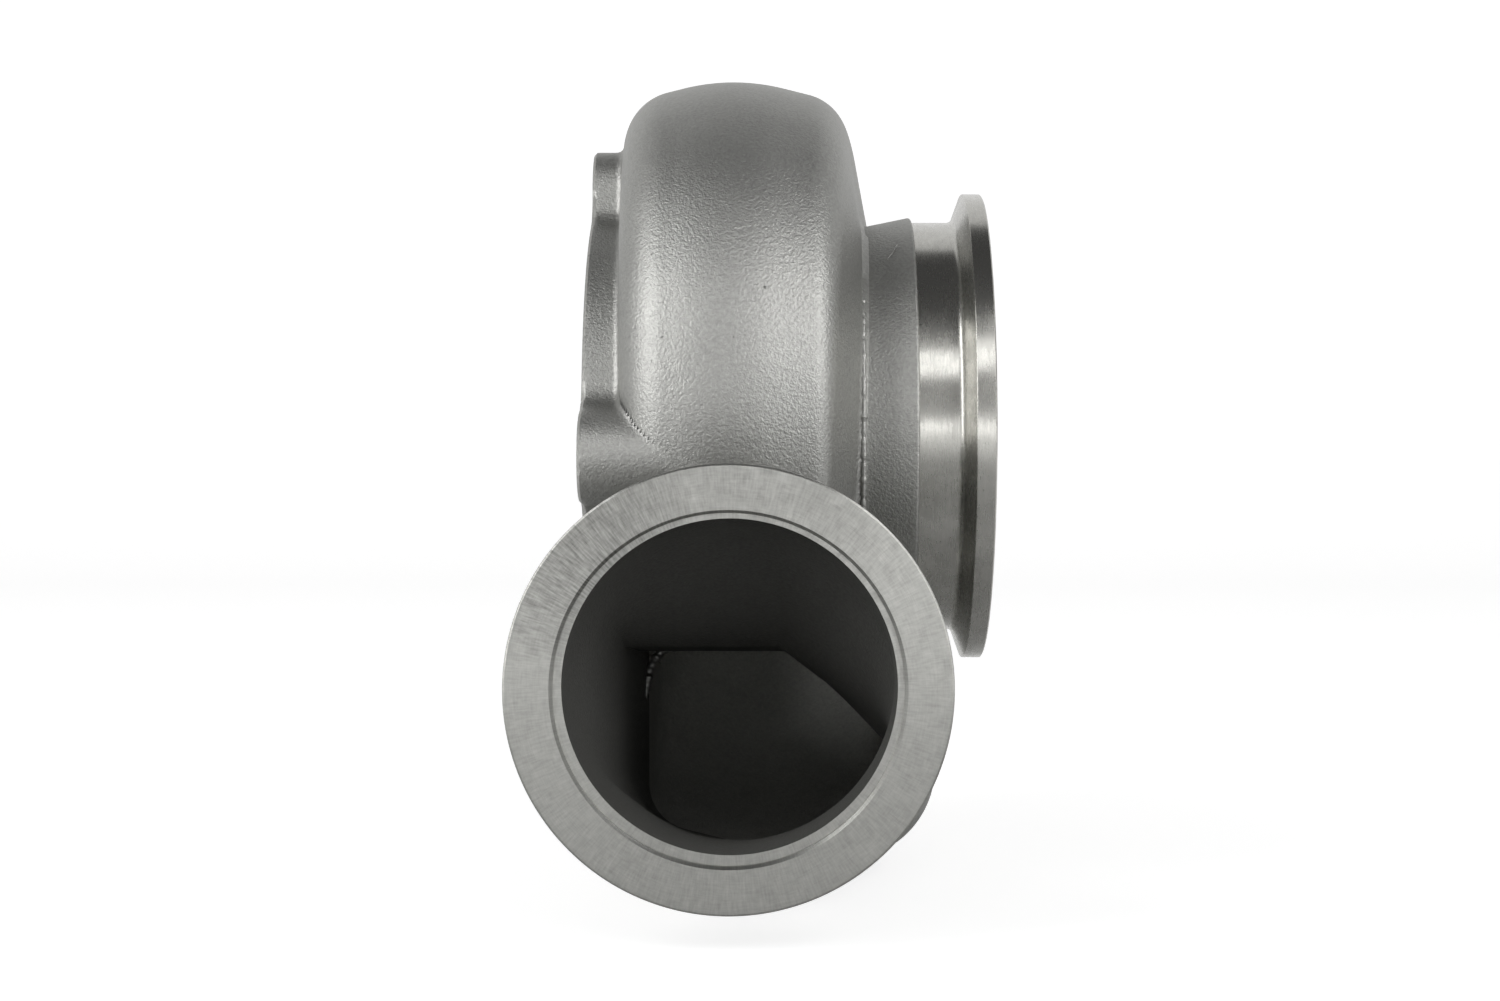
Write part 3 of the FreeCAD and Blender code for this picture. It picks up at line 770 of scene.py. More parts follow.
@dataclass
class InletFlange:
    """Turned inlet neck and clamp flange, with the narrow step round the cast bore."""

    form: CastingForm
    face: float = -95.0
    neck_radius: float = 38.6
    neck_end: float = -80.0
    rim_radius: float = 44.7
    step_radius: float = 34.9
    step_depth: float = 1.4
    step_chamfer: float = 0.62
    step_chamfer_depth: float = 0.62
    ledge_width: float = 0.2
    neck_round: float = 0.3
    neck_overlap: float = 1.5
    turns: int = 400

    def build(self, material: bpy.types.Material) -> bpy.types.Object:
        """Make the flange, from the cast bore's edge over the step, the face and the rim to the neck."""
        form, step, edge = self.form, self.step_radius, self.step_chamfer
        floor = self.face + self.step_depth
        rim = clamp_profile(self.face, self.neck_radius, self.rim_radius, -1.0)[::-1]
        corners = [
            (floor, step - self.ledge_width, 0.0),
            (floor, step, 0.0),
            (self.face + self.step_chamfer_depth, step, 0.0),
            (self.face, step + edge, 0.0),
            *rim,
            (self.neck_end, self.neck_radius, self.neck_round),
            (self.neck_end, self.neck_radius - self.neck_overlap, 0.0),
        ]
        line = finer(rounded_profile(corners), 1.5)
        angles = full_turn(self.turns)
        outer = turned(line, Axis.INLET, form, angles)
        bore = form.passage.pipe
        cast = np.stack(
            [
                bore.along + bore.radius * np.sin(angles),
                np.full(angles.shape, floor),
                -bore.drop - bore.radius * np.cos(angles),
            ],
            axis=-1,
        )
        share = np.linspace(0.0, 1.0, 4)[:, None, None]
        ledge = cast * (1 - share) + outer[0] * share
        patches = [Patch(ledge, wrap=True), Patch(outer, wrap=True)]
        return add_piece("inlet_flange", patches, material)


@dataclass
class WheelSpace:
    """Register for the centre housing, nozzle walls, shroud and outlet diffuser, seen from the axis."""

    form: CastingForm
    turns: int = 300
    register_radius: float = 42.5
    register_depth: float = 8.0
    register_chamfer: float = 0.5
    register_round: float = 0.5
    seat_radius: float = 38.5
    seat_rounds: tuple[float, float] = (0.2, 0.3)
    bore_radius: float = 31.5
    bore_end: float = 50.0
    shroud_round: float = 8.0
    diffuser_round: float = 6.0
    diffuser_radius: float = 41.0
    outlet_step_along: float = 86.7
    outlet_step_radius: float = 43.5
    outlet_face: float = 89.2
    step_chamfer: float = 0.4
    tongue_stations: tuple[float, float] = (-15.0, 28.0)
    tongue_columns: int = 60

    def build(self, material: bpy.types.Material) -> bpy.types.Object:
        """Make the bores, and close the nozzle's groove beside the tongue."""
        form, root = self.form, self.form.root_radius
        first, last = form.nozzle_start, form.nozzle_end
        seat = [
            (0.0, self.register_radius + self.register_chamfer, 0.0),
            (self.register_chamfer, self.register_radius, 0.0),
            (self.register_depth, self.register_radius, self.register_round),
            (self.register_depth, self.seat_radius, self.seat_rounds[0]),
            (first, self.seat_radius, self.seat_rounds[1]),
            (first, root, 0.0),
        ]
        shroud = [
            (last, root, 0.0),
            (last, self.bore_radius, self.shroud_round),
            (self.bore_end, self.bore_radius, self.diffuser_round),
            (self.outlet_step_along, self.diffuser_radius, 0.0),
            (self.outlet_step_along, self.outlet_step_radius, 0.0),
            (self.outlet_face - self.step_chamfer, self.outlet_step_radius, 0.0),
            (self.outlet_face, self.outlet_step_radius + self.step_chamfer, 0.0),
        ]
        groove = [
            (first, root, 0.0),
            (first, form.nozzle_radius, 0.0),
            (last, form.nozzle_radius, 0.0),
            (last, root, 0.0),
        ]
        around = full_turn(self.turns)
        beside_tongue = np.radians(np.linspace(*self.tongue_stations, self.tongue_columns))
        patches = []
        for corners, angles in ((seat, around), (shroud, around), (groove, beside_tongue)):
            line = finer(rounded_profile(corners), 2.0)
            points = turned(line, Axis.TURBINE, form, angles)
            patches.append(Patch(points, wrap=angles is around))
        return add_piece("wheel_space", patches, material)


@dataclass
class CentreHousingFlange:
    """Rim and bolt bosses on the centre housing side, with its turned face and four tapped holes.

    The outline of one quarter is a lobe about the bolt, a hollow fillet on either side of it and the rim
    between two bolts. Each quarter is worked out about the top and turned to its station.
    """

    form: CastingForm
    register_radius: float = 43.0
    chamfer: float = 0.6
    nick: float = 0.35
    mouth_radius: float = 4.0
    mouth_chamfer: float = 0.6
    hole_radius: float = 3.4
    hole_depth: float = 9.0
    thread_pitch: float = 1.25
    thread_depth: float = 0.5
    point_step: float = 0.8
    root_inset: float = 6.0
    root_along: float = 9.5
    reach: float = 34.0
    lap: float = 0.03
    boss_fillet: float = 0.7
    fillet_change: float = 4.0
    fan_middle: float = 1.35
    fan_end: float = 2.92
    near_rays: int = 26
    far_rays: int = 76
    trace_steps: int = 60
    tolerance: float = 0.05
    dip: float = 1.5
    worn_from: float = 30.0
    worn_to: float = 52.0
    worn_taper: float = 4.0
    face_rows: int = 5
    mouth_rows: int = 10
    hole_columns: int = 64
    hole_rows: int = 90
    hole_point: float = 1.9
    thread_run_out: float = 0.8
    # Rate for each millimetre and shift of the waves whose crests together make a nick, and where nicks start
    WAVES = ((1.7, 0.0), (2.9, 1.0), (4.3, 2.0))
    NICK_LEVEL = 1.1
    NICK_TOP = 1.2

    def quarter(self) -> tuple[np.ndarray, np.ndarray, int]:
        """Outline of a quarter, from mid rim over the lobe to mid rim, with the bolt on its Y axis.

        Returns:
            Points (n, 2), outward normals (n, 2), and the number of points from the start to the fillet.
        """
        form = self.form
        rim, lobe = form.rim_radius, form.boss_radius
        fillet, pitch = form.lobe_fillet, form.bolt_circle_radius
        reach = rim + fillet
        swing = math.acos((pitch**2 + reach**2 - (lobe + fillet) ** 2) / (2 * pitch * reach))
        centre = np.array([math.sin(swing), math.cos(swing)]) * reach
        bolt = np.array([0.0, pitch])
        lean = math.atan2(*(centre - bolt))
        rim_angles = self.spread(math.radians(180.0 / form.boss_count), swing, rim)
        lobe_angles = self.spread(lean, 0.0, lobe)
        start, stop = math.pi + swing, math.pi + lean
        hollow = self.spread(start, stop, fillet)
        arcs = [
            (np.zeros(2), rim, rim_angles, 1.0),
            (centre, fillet, hollow, -1.0),
            (bolt, lobe, lobe_angles, 1.0),
        ]
        points, normals = [], []
        for middle, size, angles, sign in arcs:
            ray = np.stack([np.sin(angles), np.cos(angles)], axis=-1)
            points.append((middle + ray * size)[:-1])
            normals.append((ray * sign)[:-1])
        half = np.concatenate(points + [bolt[None] + np.array([[0.0, lobe]])])
        half_normal = np.concatenate(normals + [np.array([[0.0, 1.0]])])
        mirror = np.array([-1.0, 1.0])
        outline = np.concatenate([half, (half[:-1] * mirror)[::-1]])
        normal = np.concatenate([half_normal, (half_normal[:-1] * mirror)[::-1]])
        return outline, normal, len(rim_angles) - 1

    def spread(self, start: float, stop: float, radius: float) -> np.ndarray:
        """Angles from start to stop, one for each point step of an arc."""
        return np.linspace(start, stop, max(3, round(abs(stop - start) * radius / self.point_step) + 1))

    def placed(self, flat: np.ndarray, along: np.ndarray | float, station: float) -> np.ndarray:
        """Points of the top quarter's plane turned to a station, at places along the axis.

        In that plane the first number runs towards -Y at the top and the second outwards from the axis.
        """
        angle = math.radians(station)
        side, out = flat[..., 0], flat[..., 1]
        y = out * math.sin(angle) + side * math.cos(angle)
        z = -out * math.cos(angle) + side * math.sin(angle)
        return np.stack(np.broadcast_arrays(along, y, z), axis=-1)

    def side_patch(self, outline: np.ndarray, normal: np.ndarray, station: float) -> Patch:
        """Side of the rim and boss with the fillet into the scroll, a hair above the scroll's own skin.

        Rays start inside the rim, in the plane of the outline's normal and the axis, and fan out from the
        chamfer's edge to the scroll. Past the last ray that comes out, the skin dips into the metal.
        """
        form = self.form
        first = math.atan2(self.root_inset, self.root_along - self.chamfer)
        near = np.linspace(first, self.fan_middle, self.near_rays)[:-1]
        far = np.linspace(self.fan_middle, self.fan_end, self.far_rays)
        fan = np.concatenate([near, far])[:, None, None]
        start = self.placed(outline - normal * self.root_inset, self.root_along, station)
        out = self.placed(normal, 0.0, station)
        to_face = np.broadcast_to(-np.cos(fan), (len(fan), len(out), 1))
        direction = np.concatenate([to_face, np.sin(fan) * out[None, :, 1:]], axis=-1)

        def fillet(points: np.ndarray) -> np.ndarray:
            past_rim = clamp_ease(points[..., 0], form.rim_width, form.rim_width + self.fillet_change)
            return form.cast_fillet * (1 - past_rim) + self.boss_fillet * past_rim

        def joined(points: np.ndarray) -> np.ndarray:
            body = smooth_union(form.shell_distance(points), form.hub_distance(points), form.cast_fillet)
            return smooth_union(form.flange_distance(points), body, fillet(points))

        def inside(points: np.ndarray) -> np.ndarray:
            near_flange = form.flange_distance(points) - FILLET_REACH * fillet(points)
            return np.maximum(joined(points), near_flange) - self.lap

        start = np.broadcast_to(start, direction.shape)
        points = trace(start, direction, inside, self.reach, self.trace_steps)
        edge = self.worn_edge(outline, station)
        points[0] = self.placed(outline, edge, station)
        out_of_metal = np.abs(joined(points) - self.lap) < self.tolerance
        out_of_metal[0] = True
        last = np.minimum.accumulate(out_of_metal, axis=0).sum(axis=0) - 1
        last = np.maximum(last, 1)
        column = np.arange(points.shape[1])
        dip = points[last, column] - direction[last, column] * self.dip
        beyond = np.arange(points.shape[0])[:, None] > last
        points = np.where(beyond[..., None], dip, points)
        inner = self.placed(outline - normal * edge[:, None], 0.0, station)
        return Patch(np.concatenate([inner[None], points]), flip=True)

    def worn_edge(self, outline: np.ndarray, station: float) -> np.ndarray:
        """Width of the face's chamfer along the outline, with nicks where three waves meet.

        The side towards the inlet was knocked most.
        """
        place = np.cumsum(np.linalg.norm(np.diff(outline, axis=0, prepend=outline[:1]), axis=1)) + station
        waves = sum(np.sin(place * rate + shift) for rate, shift in self.WAVES)
        ends = np.clip(np.minimum(place - place[0], place[-1] - place) / self.worn_taper, 0.0, 1.0)
        front = clamp_ease(-self.placed(outline, 0.0, station)[:, 1], self.worn_from, self.worn_to)
        return self.chamfer + self.nick * front * np.clip(waves - self.NICK_LEVEL, 0.0, self.NICK_TOP) * ends

    def face_patches(
        self, outline: np.ndarray, normal: np.ndarray, rim_points: int, station: float
    ) -> list[Patch]:
        """Flat face of a quarter: a patch round the hole, and one on either side of it."""
        edge = outline - normal * self.worn_edge(outline, station)[:, None]
        angle = np.arctan2(edge[:, 0], edge[:, 1])
        inner = np.stack([np.sin(angle), np.cos(angle)], axis=-1) * self.register_radius
        patches = []
        rows = np.linspace(0.0, 1.0, self.face_rows)[:, None, None]
        for part in (slice(0, rim_points + 1), slice(len(edge) - 1 - rim_points, len(edge))):
            flat = edge[part] * (1 - rows) + inner[part] * rows
            patches.append(Patch(self.placed(flat, 0.0, station), flip=True))
        middle = slice(rim_points, len(edge) - rim_points)
        sides = np.linspace(0.0, 1.0, self.face_rows)[1:-1, None]
        turn = np.linspace(angle[middle][0], angle[middle][-1], len(angle[middle]))
        arc = np.stack([np.sin(turn), np.cos(turn)], axis=-1) * self.register_radius
        down = edge[middle][-1] * (1 - sides) + inner[middle][-1] * sides
        up = inner[middle][0] * (1 - sides) + edge[middle][0] * sides
        loop = np.concatenate([edge[middle], down, arc[::-1], up])
        bolt = np.array([0.0, self.form.bolt_circle_radius])
        ray = loop - bolt
        mouth = bolt + ray / np.linalg.norm(ray, axis=1, keepdims=True) * self.mouth_radius
        rows = np.linspace(0.0, 1.0, self.mouth_rows)[:, None, None]
        flat = loop * (1 - rows) + mouth * rows
        patches.append(Patch(self.placed(flat, 0.0, station), wrap=True, flip=True))
        return patches

    def hole_patch(self, station: float) -> Patch:
        """Tapped blind hole: chamfered mouth, thread and drilled cone at the bottom.

        The thread is a ridge that rises and falls once in each pitch as the screw turns.
        """
        around = full_turn(self.hole_columns)
        start, end = self.mouth_chamfer, self.hole_depth
        deep = np.concatenate([np.linspace(start, end, self.hole_rows), [end + self.hole_point]])
        phase = (deep[:, None] / self.thread_pitch - around / (2 * math.pi)) % 1.0
        ridge = np.abs(2.0 * phase - 1.0)
        fade = clamp_ease(deep, start, start + self.thread_run_out)[:, None]
        fade = fade * (1 - clamp_ease(deep, end - self.thread_run_out, end)[:, None])
        radius = self.hole_radius + self.thread_depth * ridge * fade
        radius[-1] = 0.0
        mouth = np.full((1, self.hole_columns), self.mouth_radius)
        radius = np.concatenate([mouth, radius])
        along = np.concatenate([[0.0], deep])[:, None]
        side = radius * np.sin(around)
        out = self.form.bolt_circle_radius + radius * np.cos(around)
        flat = np.stack([side, out], axis=-1)
        return Patch(self.placed(flat, along, station), wrap=True, flip=True)

    def build(self, cast: bpy.types.Material, turned_finish: bpy.types.Material) -> list[bpy.types.Object]:
        """Make the cast side, the turned face and the holes."""
        outline, normal, rim_points = self.quarter()
        sides, faces, holes = [], [], []
        for station in self.form.boss_stations():
            sides.append(self.side_patch(outline, normal, station))
            faces += self.face_patches(outline, normal, rim_points, station)
            holes.append(self.hole_patch(station))
        return [
            add_piece("centre_housing_rim", sides, cast),
            add_piece("centre_housing_face", faces, turned_finish),
            add_piece("bolt_holes", holes, turned_finish),
        ]


@dataclass
class CastSeams:
    """Thin uneven ridges: a seam round the cone's root, flash at the tongue and a scuff on the cone."""

    around: int = 12
    # Any direction that none of the ridges follows, which starts their rings
    ASKEW = (0.31, 0.55, 0.78)
    SWELL_RATES = (0.9, 2.3, 3.7)
    ROOT_STATIONS = (180.0, 336.0)
    SCUFF_SPOTS = ((69.2, -25.6, 40.9), (68.4, -26.6, 39.9), (68.0, -27.8, 38.9), (66.6, -29.6, 37.2))
    FLASH_SPOTS = (
        (20.0, -1.0, -52.0),
        (15.8, -1.5, -52.4),
        (13.6, -2.5, -54.6),
        (12.2, -4.0, -58.0),
        (11.6, -6.0, -63.5),
    )

    def bead(self, path: np.ndarray, radius: float, seed: float) -> Patch:
        """Ridge along a path, whose radius swells and shrinks and closes at both ends.

        Args:
            path: Points along the ridge, (n, 3).
            radius: Greatest radius.
            seed: Shift of the swells, so that two ridges differ.

        Returns:
            Grid with a row for each point of the path and a column for each step round it.
        """
        run = np.gradient(path, axis=0)
        run = run / np.linalg.norm(run, axis=1, keepdims=True)
        side = np.cross(run, np.array(self.ASKEW))
        side = side / np.linalg.norm(side, axis=1, keepdims=True)
        other = np.cross(run, side)
        length = np.cumsum(np.linalg.norm(np.diff(path, axis=0, prepend=path[:1]), axis=1))
        swell = sum(np.sin(length * rate + i * seed) for i, rate in enumerate(self.SWELL_RATES, 1))
        share = np.linspace(0.0, 1.0, len(path))
        taper = np.sqrt(np.clip(1.0 - np.abs(2 * share - 1.0) ** 6, 0.0, 1.0))
        size = (radius * (0.7 + 0.1 * swell) * taper)[:, None, None]
        angle = full_turn(self.around)[:, None]
        ring = np.cos(angle) * side[:, None] + np.sin(angle) * other[:, None]
        return Patch(path[:, None] + size * ring, wrap=True, flip=True)

    def round_cone(self, along: float, radius: float, stations: tuple[float, float]) -> np.ndarray:
        """Path round the turbine axis between two stations."""
        angle = np.radians(np.linspace(*stations, 240))
        x = np.full(angle.shape, along)
        return np.stack([x, radius * np.sin(angle), -radius * np.cos(angle)], axis=-1)

    def through(self, spots: tuple[tuple[float, float, float], ...], count: int) -> np.ndarray:
        """Smooth path through a few spots."""
        rows = np.array(spots)
        knots = np.arange(len(rows), dtype=float)
        return through_knots(np.linspace(0.0, knots[-1], count), knots, rows)

    def build(self, material: bpy.types.Material) -> list[bpy.types.Object]:
        """Make the ridges outside and the flash at the tongue."""
        root = self.bead(self.round_cone(60.9, 46.75, self.ROOT_STATIONS), radius=0.85, seed=0.4)
        scuff = self.bead(self.through(self.SCUFF_SPOTS, 30), radius=0.2, seed=1.7)
        flash = self.bead(self.through(self.FLASH_SPOTS, 70), radius=1.35, seed=2.2)
        return [
            add_piece("cast_seams", [root, scuff], material),
            add_piece("tongue_flash", [flash], material),
        ]


def linear(colour: str) -> tuple[float, float, float, float]:
    """Linear colour and full alpha of an sRGB hex value."""
    parts = [int(colour[i : i + 2], 16) / 255 for i in (0, 2, 4)]
    red, green, blue = (p / 12.92 if p <= 0.04045 else ((p + 0.055) / 1.055) ** 2.4 for p in parts)
    return red, green, blue, 1.0


class Nodes:
    """Node tree of a material or a world, empty at first."""

    def __init__(self, owner: bpy.types.Material | bpy.types.World) -> None:
        """Clear the owner's nodes."""
        owner.use_nodes = True
        self.tree = owner.node_tree
        self.tree.nodes.clear()

    def add(self, kind: str, inputs: dict | None = None, **settings: object) -> bpy.types.Node:
        """Node with its settings, and its inputs set to values or linked to other nodes' outputs."""
        node = self.tree.nodes.new(kind)
        for name, value in settings.items():
            setattr(node, name, value)
        for name, value in (inputs or {}).items():
            if isinstance(value, bpy.types.NodeSocket):
                self.tree.links.new(value, node.inputs[name])
            else:
                node.inputs[name].default_value = value
        return node

    def maths(self, operation: str, first: Operand, second: Operand) -> bpy.types.NodeSocket:
        """Number that an operation makes of two numbers."""
        return self.add("ShaderNodeMath", {0: first, 1: second}, operation=operation).outputs[0]

    def vector(self, operation: str, *parts: Operand) -> bpy.types.NodeSocket:
        """Vector that an operation makes of vectors."""
        return self.add("ShaderNodeVectorMath", dict(enumerate(parts)), operation=operation).outputs["Vector"]

    def measure(self, operation: str, *parts: Operand) -> bpy.types.NodeSocket:
        """Number that an operation makes of vectors, such as a length."""
        return self.add("ShaderNodeVectorMath", dict(enumerate(parts)), operation=operation).outputs["Value"]

    def scaled(self, vector: Operand, factor: Operand) -> bpy.types.NodeSocket:
        """Vector times a number."""
        inputs = {0: vector, "Scale": factor}
        return self.add("ShaderNodeVectorMath", inputs, operation="SCALE").outputs["Vector"]

    def mapped(
        self, value: Operand, source: tuple[Operand, Operand], result: tuple[Operand, Operand] = (0.0, 1.0)
    ) -> bpy.types.NodeSocket:
        """Number carried evenly from one range to another, and held at its ends."""
        inputs = {"Value": value, "From Min": source[0], "From Max": source[1]}
        inputs |= {"To Min": result[0], "To Max": result[1]}
        return self.add("ShaderNodeMapRange", inputs).outputs[0]

    def noise(self, place: Operand, scale: float, detail: float, roughness: float) -> bpy.types.NodeSocket:
        """Noise from 0 to 1 over places."""
        inputs = {"Vector": place, "Scale": scale, "Detail": detail, "Roughness": roughness}
        return self.add("ShaderNodeTexNoise", inputs).outputs["Fac"]

    def bump(
        self,
        height: Operand,
        depth_mm: float,
        under: bpy.types.NodeSocket | None = None,
        invert: bool = False,
    ) -> bpy.types.NodeSocket:
        """Normals of a surface raised by up to a depth, over another bump's normals if they are given."""
        inputs = {"Height": height, "Strength": 1.0, "Distance": depth_mm * MM}
        if under is not None:
            inputs["Normal"] = under
        return self.add("ShaderNodeBump", inputs, invert=invert).outputs["Normal"]


@dataclass(frozen=True)
class CastSteel:
    """Investment-cast stainless steel, shot-blasted: an even grey with orange-peel grain and a few pits."""

    name: str = "shot_blasted_stainless_casting"
    colour: str = "a9a9a6"
    roughness: float = 0.5
    metal: float = 1.0
    peel_mm: float = 0.7
    peel_depth_mm: float = 0.14
    grain_mm: float = 0.4
    grain_depth_mm: float = 0.1
    dent_tone_and_shade: float = 0.5
    pit_mm: float = 2.4
    pit_depth_mm: float = 0.2
    mottle_mm: float = 14.0
    NOISE_ROUGHNESS = 0.55
    PIT_LIMITS = (0.73, 0.78)
    PIT_SHADE = 0.4
    MOTTLE_LIMITS = (0.3, 0.7)
    MOTTLE_LEVELS = (0.94, 1.0)

    def noise(self, nodes: Nodes, size_mm: float, detail: float) -> bpy.types.NodeSocket:
        """Noise whose features are about the given size."""
        place = nodes.add("ShaderNodeTexCoord").outputs["Object"]
        return nodes.noise(place, 1 / (size_mm * MM), detail, self.NOISE_ROUGHNESS)

    def material(self) -> bpy.types.Material:
        """Make the material."""
        made = bpy.data.materials.new(self.name)
        nodes = Nodes(made)
        # Soft swells of the ceramic shell, which the eye takes for orange peel
        peel = self.noise(nodes, self.peel_mm, 1.5)
        skin = nodes.bump(peel, self.peel_depth_mm)
        # Finer dents of the shot, which break the highlights into sparkle
        dents = nodes.bump(self.noise(nodes, self.grain_mm, 2.0), self.grain_depth_mm, skin)
        # Sparse pits, darker than the skin
        pit = nodes.mapped(self.noise(nodes, self.pit_mm, 3.0), self.PIT_LIMITS)
        hollow = nodes.bump(pit, self.pit_depth_mm, dents, invert=True)
        # Faint cloudiness of the blasting
        cloud = nodes.mapped(self.noise(nodes, self.mottle_mm, 2.0), self.MOTTLE_LIMITS, self.MOTTLE_LEVELS)
        shade = nodes.maths("SUBTRACT", cloud, nodes.maths("MULTIPLY", pit, self.PIT_SHADE))
        # Dents darker than the skin between them: partly the blasted skin's own tone, partly painted shade
        fine = nodes.maths("MULTIPLY", nodes.maths("SUBTRACT", peel, 0.5), self.dent_tone_and_shade)
        colour = nodes.scaled(linear(self.colour)[:3], nodes.maths("ADD", shade, fine))
        shader = nodes.add(
            "ShaderNodeBsdfPrincipled",
            {
                "Base Color": colour,
                "Metallic": self.metal,
                "Roughness": self.roughness,
                "Normal": hollow,
            },
        )
        nodes.add("ShaderNodeOutputMaterial", {"Surface": shader.outputs["BSDF"]})
        return made


@dataclass(frozen=True)
class TurnedSteel:
    """Stainless steel turned on a lathe: brighter than the casting, with tool rings that draw lights out."""

    name: str
    axis: Axis
    colour: str = "bdbcb7"
    roughness: float = 0.27
    drawn: float = 0.75
    ring_mm: float = 0.22
    ring_depth_mm: float = 0.012
    streak_mm: float = 5.0
    stain: float = 0.0
    brush_mm: float = 0.5
    brush_length_mm: float = 3.0
    brush: float = 0.0
    # Streaks: length and tightness in their own scale, and the limits of the unevenness that they make
    STREAK_LENGTH = 3.0
    STREAK_TIGHTNESS = 60.0
    STREAK_SCALE = 40.0
    UNEVEN_LIMITS = (0.7, 1.3)
    SHADE_LEVELS = (0.86, 1.06)
    ROUGHNESS_SHARES = (1.15, 0.85)
    # Direction of the duller patch, how nearly a spoke has to point there, and the brush's share elsewhere
    PATCH_WAY = (-0.72, 0.0, 0.69)
    PATCH_LIMITS = (0.8, 0.99)
    BRUSH_ELSEWHERE = 0.4

    def material(self, form: CastingForm) -> bpy.types.Material:
        """Make the material for surfaces turned round an axis of the form."""
        made = bpy.data.materials.new(self.name)
        nodes = Nodes(made)
        place = nodes.add("ShaderNodeTexCoord").outputs["Object"]
        along, centre = (1.0, 0.0, 0.0), (0.0, 0.0, 0.0)
        if self.axis is Axis.INLET:
            along, centre = (0.0, 1.0, 0.0), (form.inlet_along * MM, 0.0, -form.inlet_drop * MM)
        offset = nodes.vector("SUBTRACT", place, centre)
        depth = nodes.measure("DOT_PRODUCT", offset, along)
        spoke = nodes.vector("SUBTRACT", offset, nodes.scaled(along, depth))
        radius = nodes.measure("LENGTH", spoke)
        ray = nodes.vector("NORMALIZE", spoke)
        # The tool draws its grooves round the axis, so highlights run across them, along the profile
        tangent = nodes.vector("ADD", ray, along)
        # Tool rings: noise along the profile, which is the same all the way round
        profile = nodes.maths("ADD", radius, depth)
        ring = nodes.add(
            "ShaderNodeTexNoise",
            {"W": profile, "Scale": 1 / (self.ring_mm * MM), "Detail": 2.0, "Roughness": 0.6},
            noise_dimensions="1D",
        ).outputs["Fac"]
        bump = nodes.bump(ring, self.ring_depth_mm)
        # Streaks a few millimetres long that follow the rings, and wear that dulls the surface in clouds
        squeeze = nodes.scaled(along, profile)
        tight = nodes.scaled(squeeze, self.STREAK_TIGHTNESS)
        lane = nodes.vector("ADD", nodes.scaled(ray, 1 / self.STREAK_LENGTH), tight)
        streak = nodes.noise(lane, self.STREAK_SCALE, 4.0, 0.65)
        wear = nodes.noise(place, 1 / (self.streak_mm * MM), 4.0, 0.6)
        uneven = nodes.maths("ADD", streak, wear)
        shade = nodes.mapped(uneven, self.UNEVEN_LIMITS, self.SHADE_LEVELS)
        # Short brush marks across the rings, half a millimetre apart
        across = nodes.scaled(ray, form.rim_radius * MM / (self.brush_mm * MM))
        mark = nodes.vector("ADD", across, nodes.scaled(squeeze, 1 / (self.brush_length_mm * MM)))
        marks = nodes.noise(mark, 1.0, 2.0, 0.5)
        # A duller patch on the upper left of the face, where the part was handled and the marks show most
        patch = nodes.mapped(nodes.measure("DOT_PRODUCT", ray, self.PATCH_WAY), self.PATCH_LIMITS)
        dull = nodes.maths("MULTIPLY", nodes.maths("MULTIPLY", patch, wear), self.stain)
        contrast = nodes.mapped(patch, (0.0, 1.0), (self.brush * self.BRUSH_ELSEWHERE, self.brush))
        light = nodes.maths("MULTIPLY", nodes.maths("SUBTRACT", marks, 0.5), contrast)
        shade = nodes.maths("ADD", nodes.maths("SUBTRACT", shade, dull), light)
        colour = nodes.scaled(linear(self.colour)[:3], shade)
        dullest, brightest = (self.roughness * share for share in self.ROUGHNESS_SHARES)
        rough = nodes.mapped(uneven, self.UNEVEN_LIMITS, (dullest, brightest))
        shader = nodes.add(
            "ShaderNodeBsdfPrincipled",
            {
                "Base Color": colour,
                "Metallic": 1.0,
                "Roughness": rough,
                "Anisotropic": self.drawn,
                "Tangent": tangent,
                "Normal": bump,
            },
        )
        nodes.add("ShaderNodeOutputMaterial", {"Surface": shader.outputs["BSDF"]})
        return made


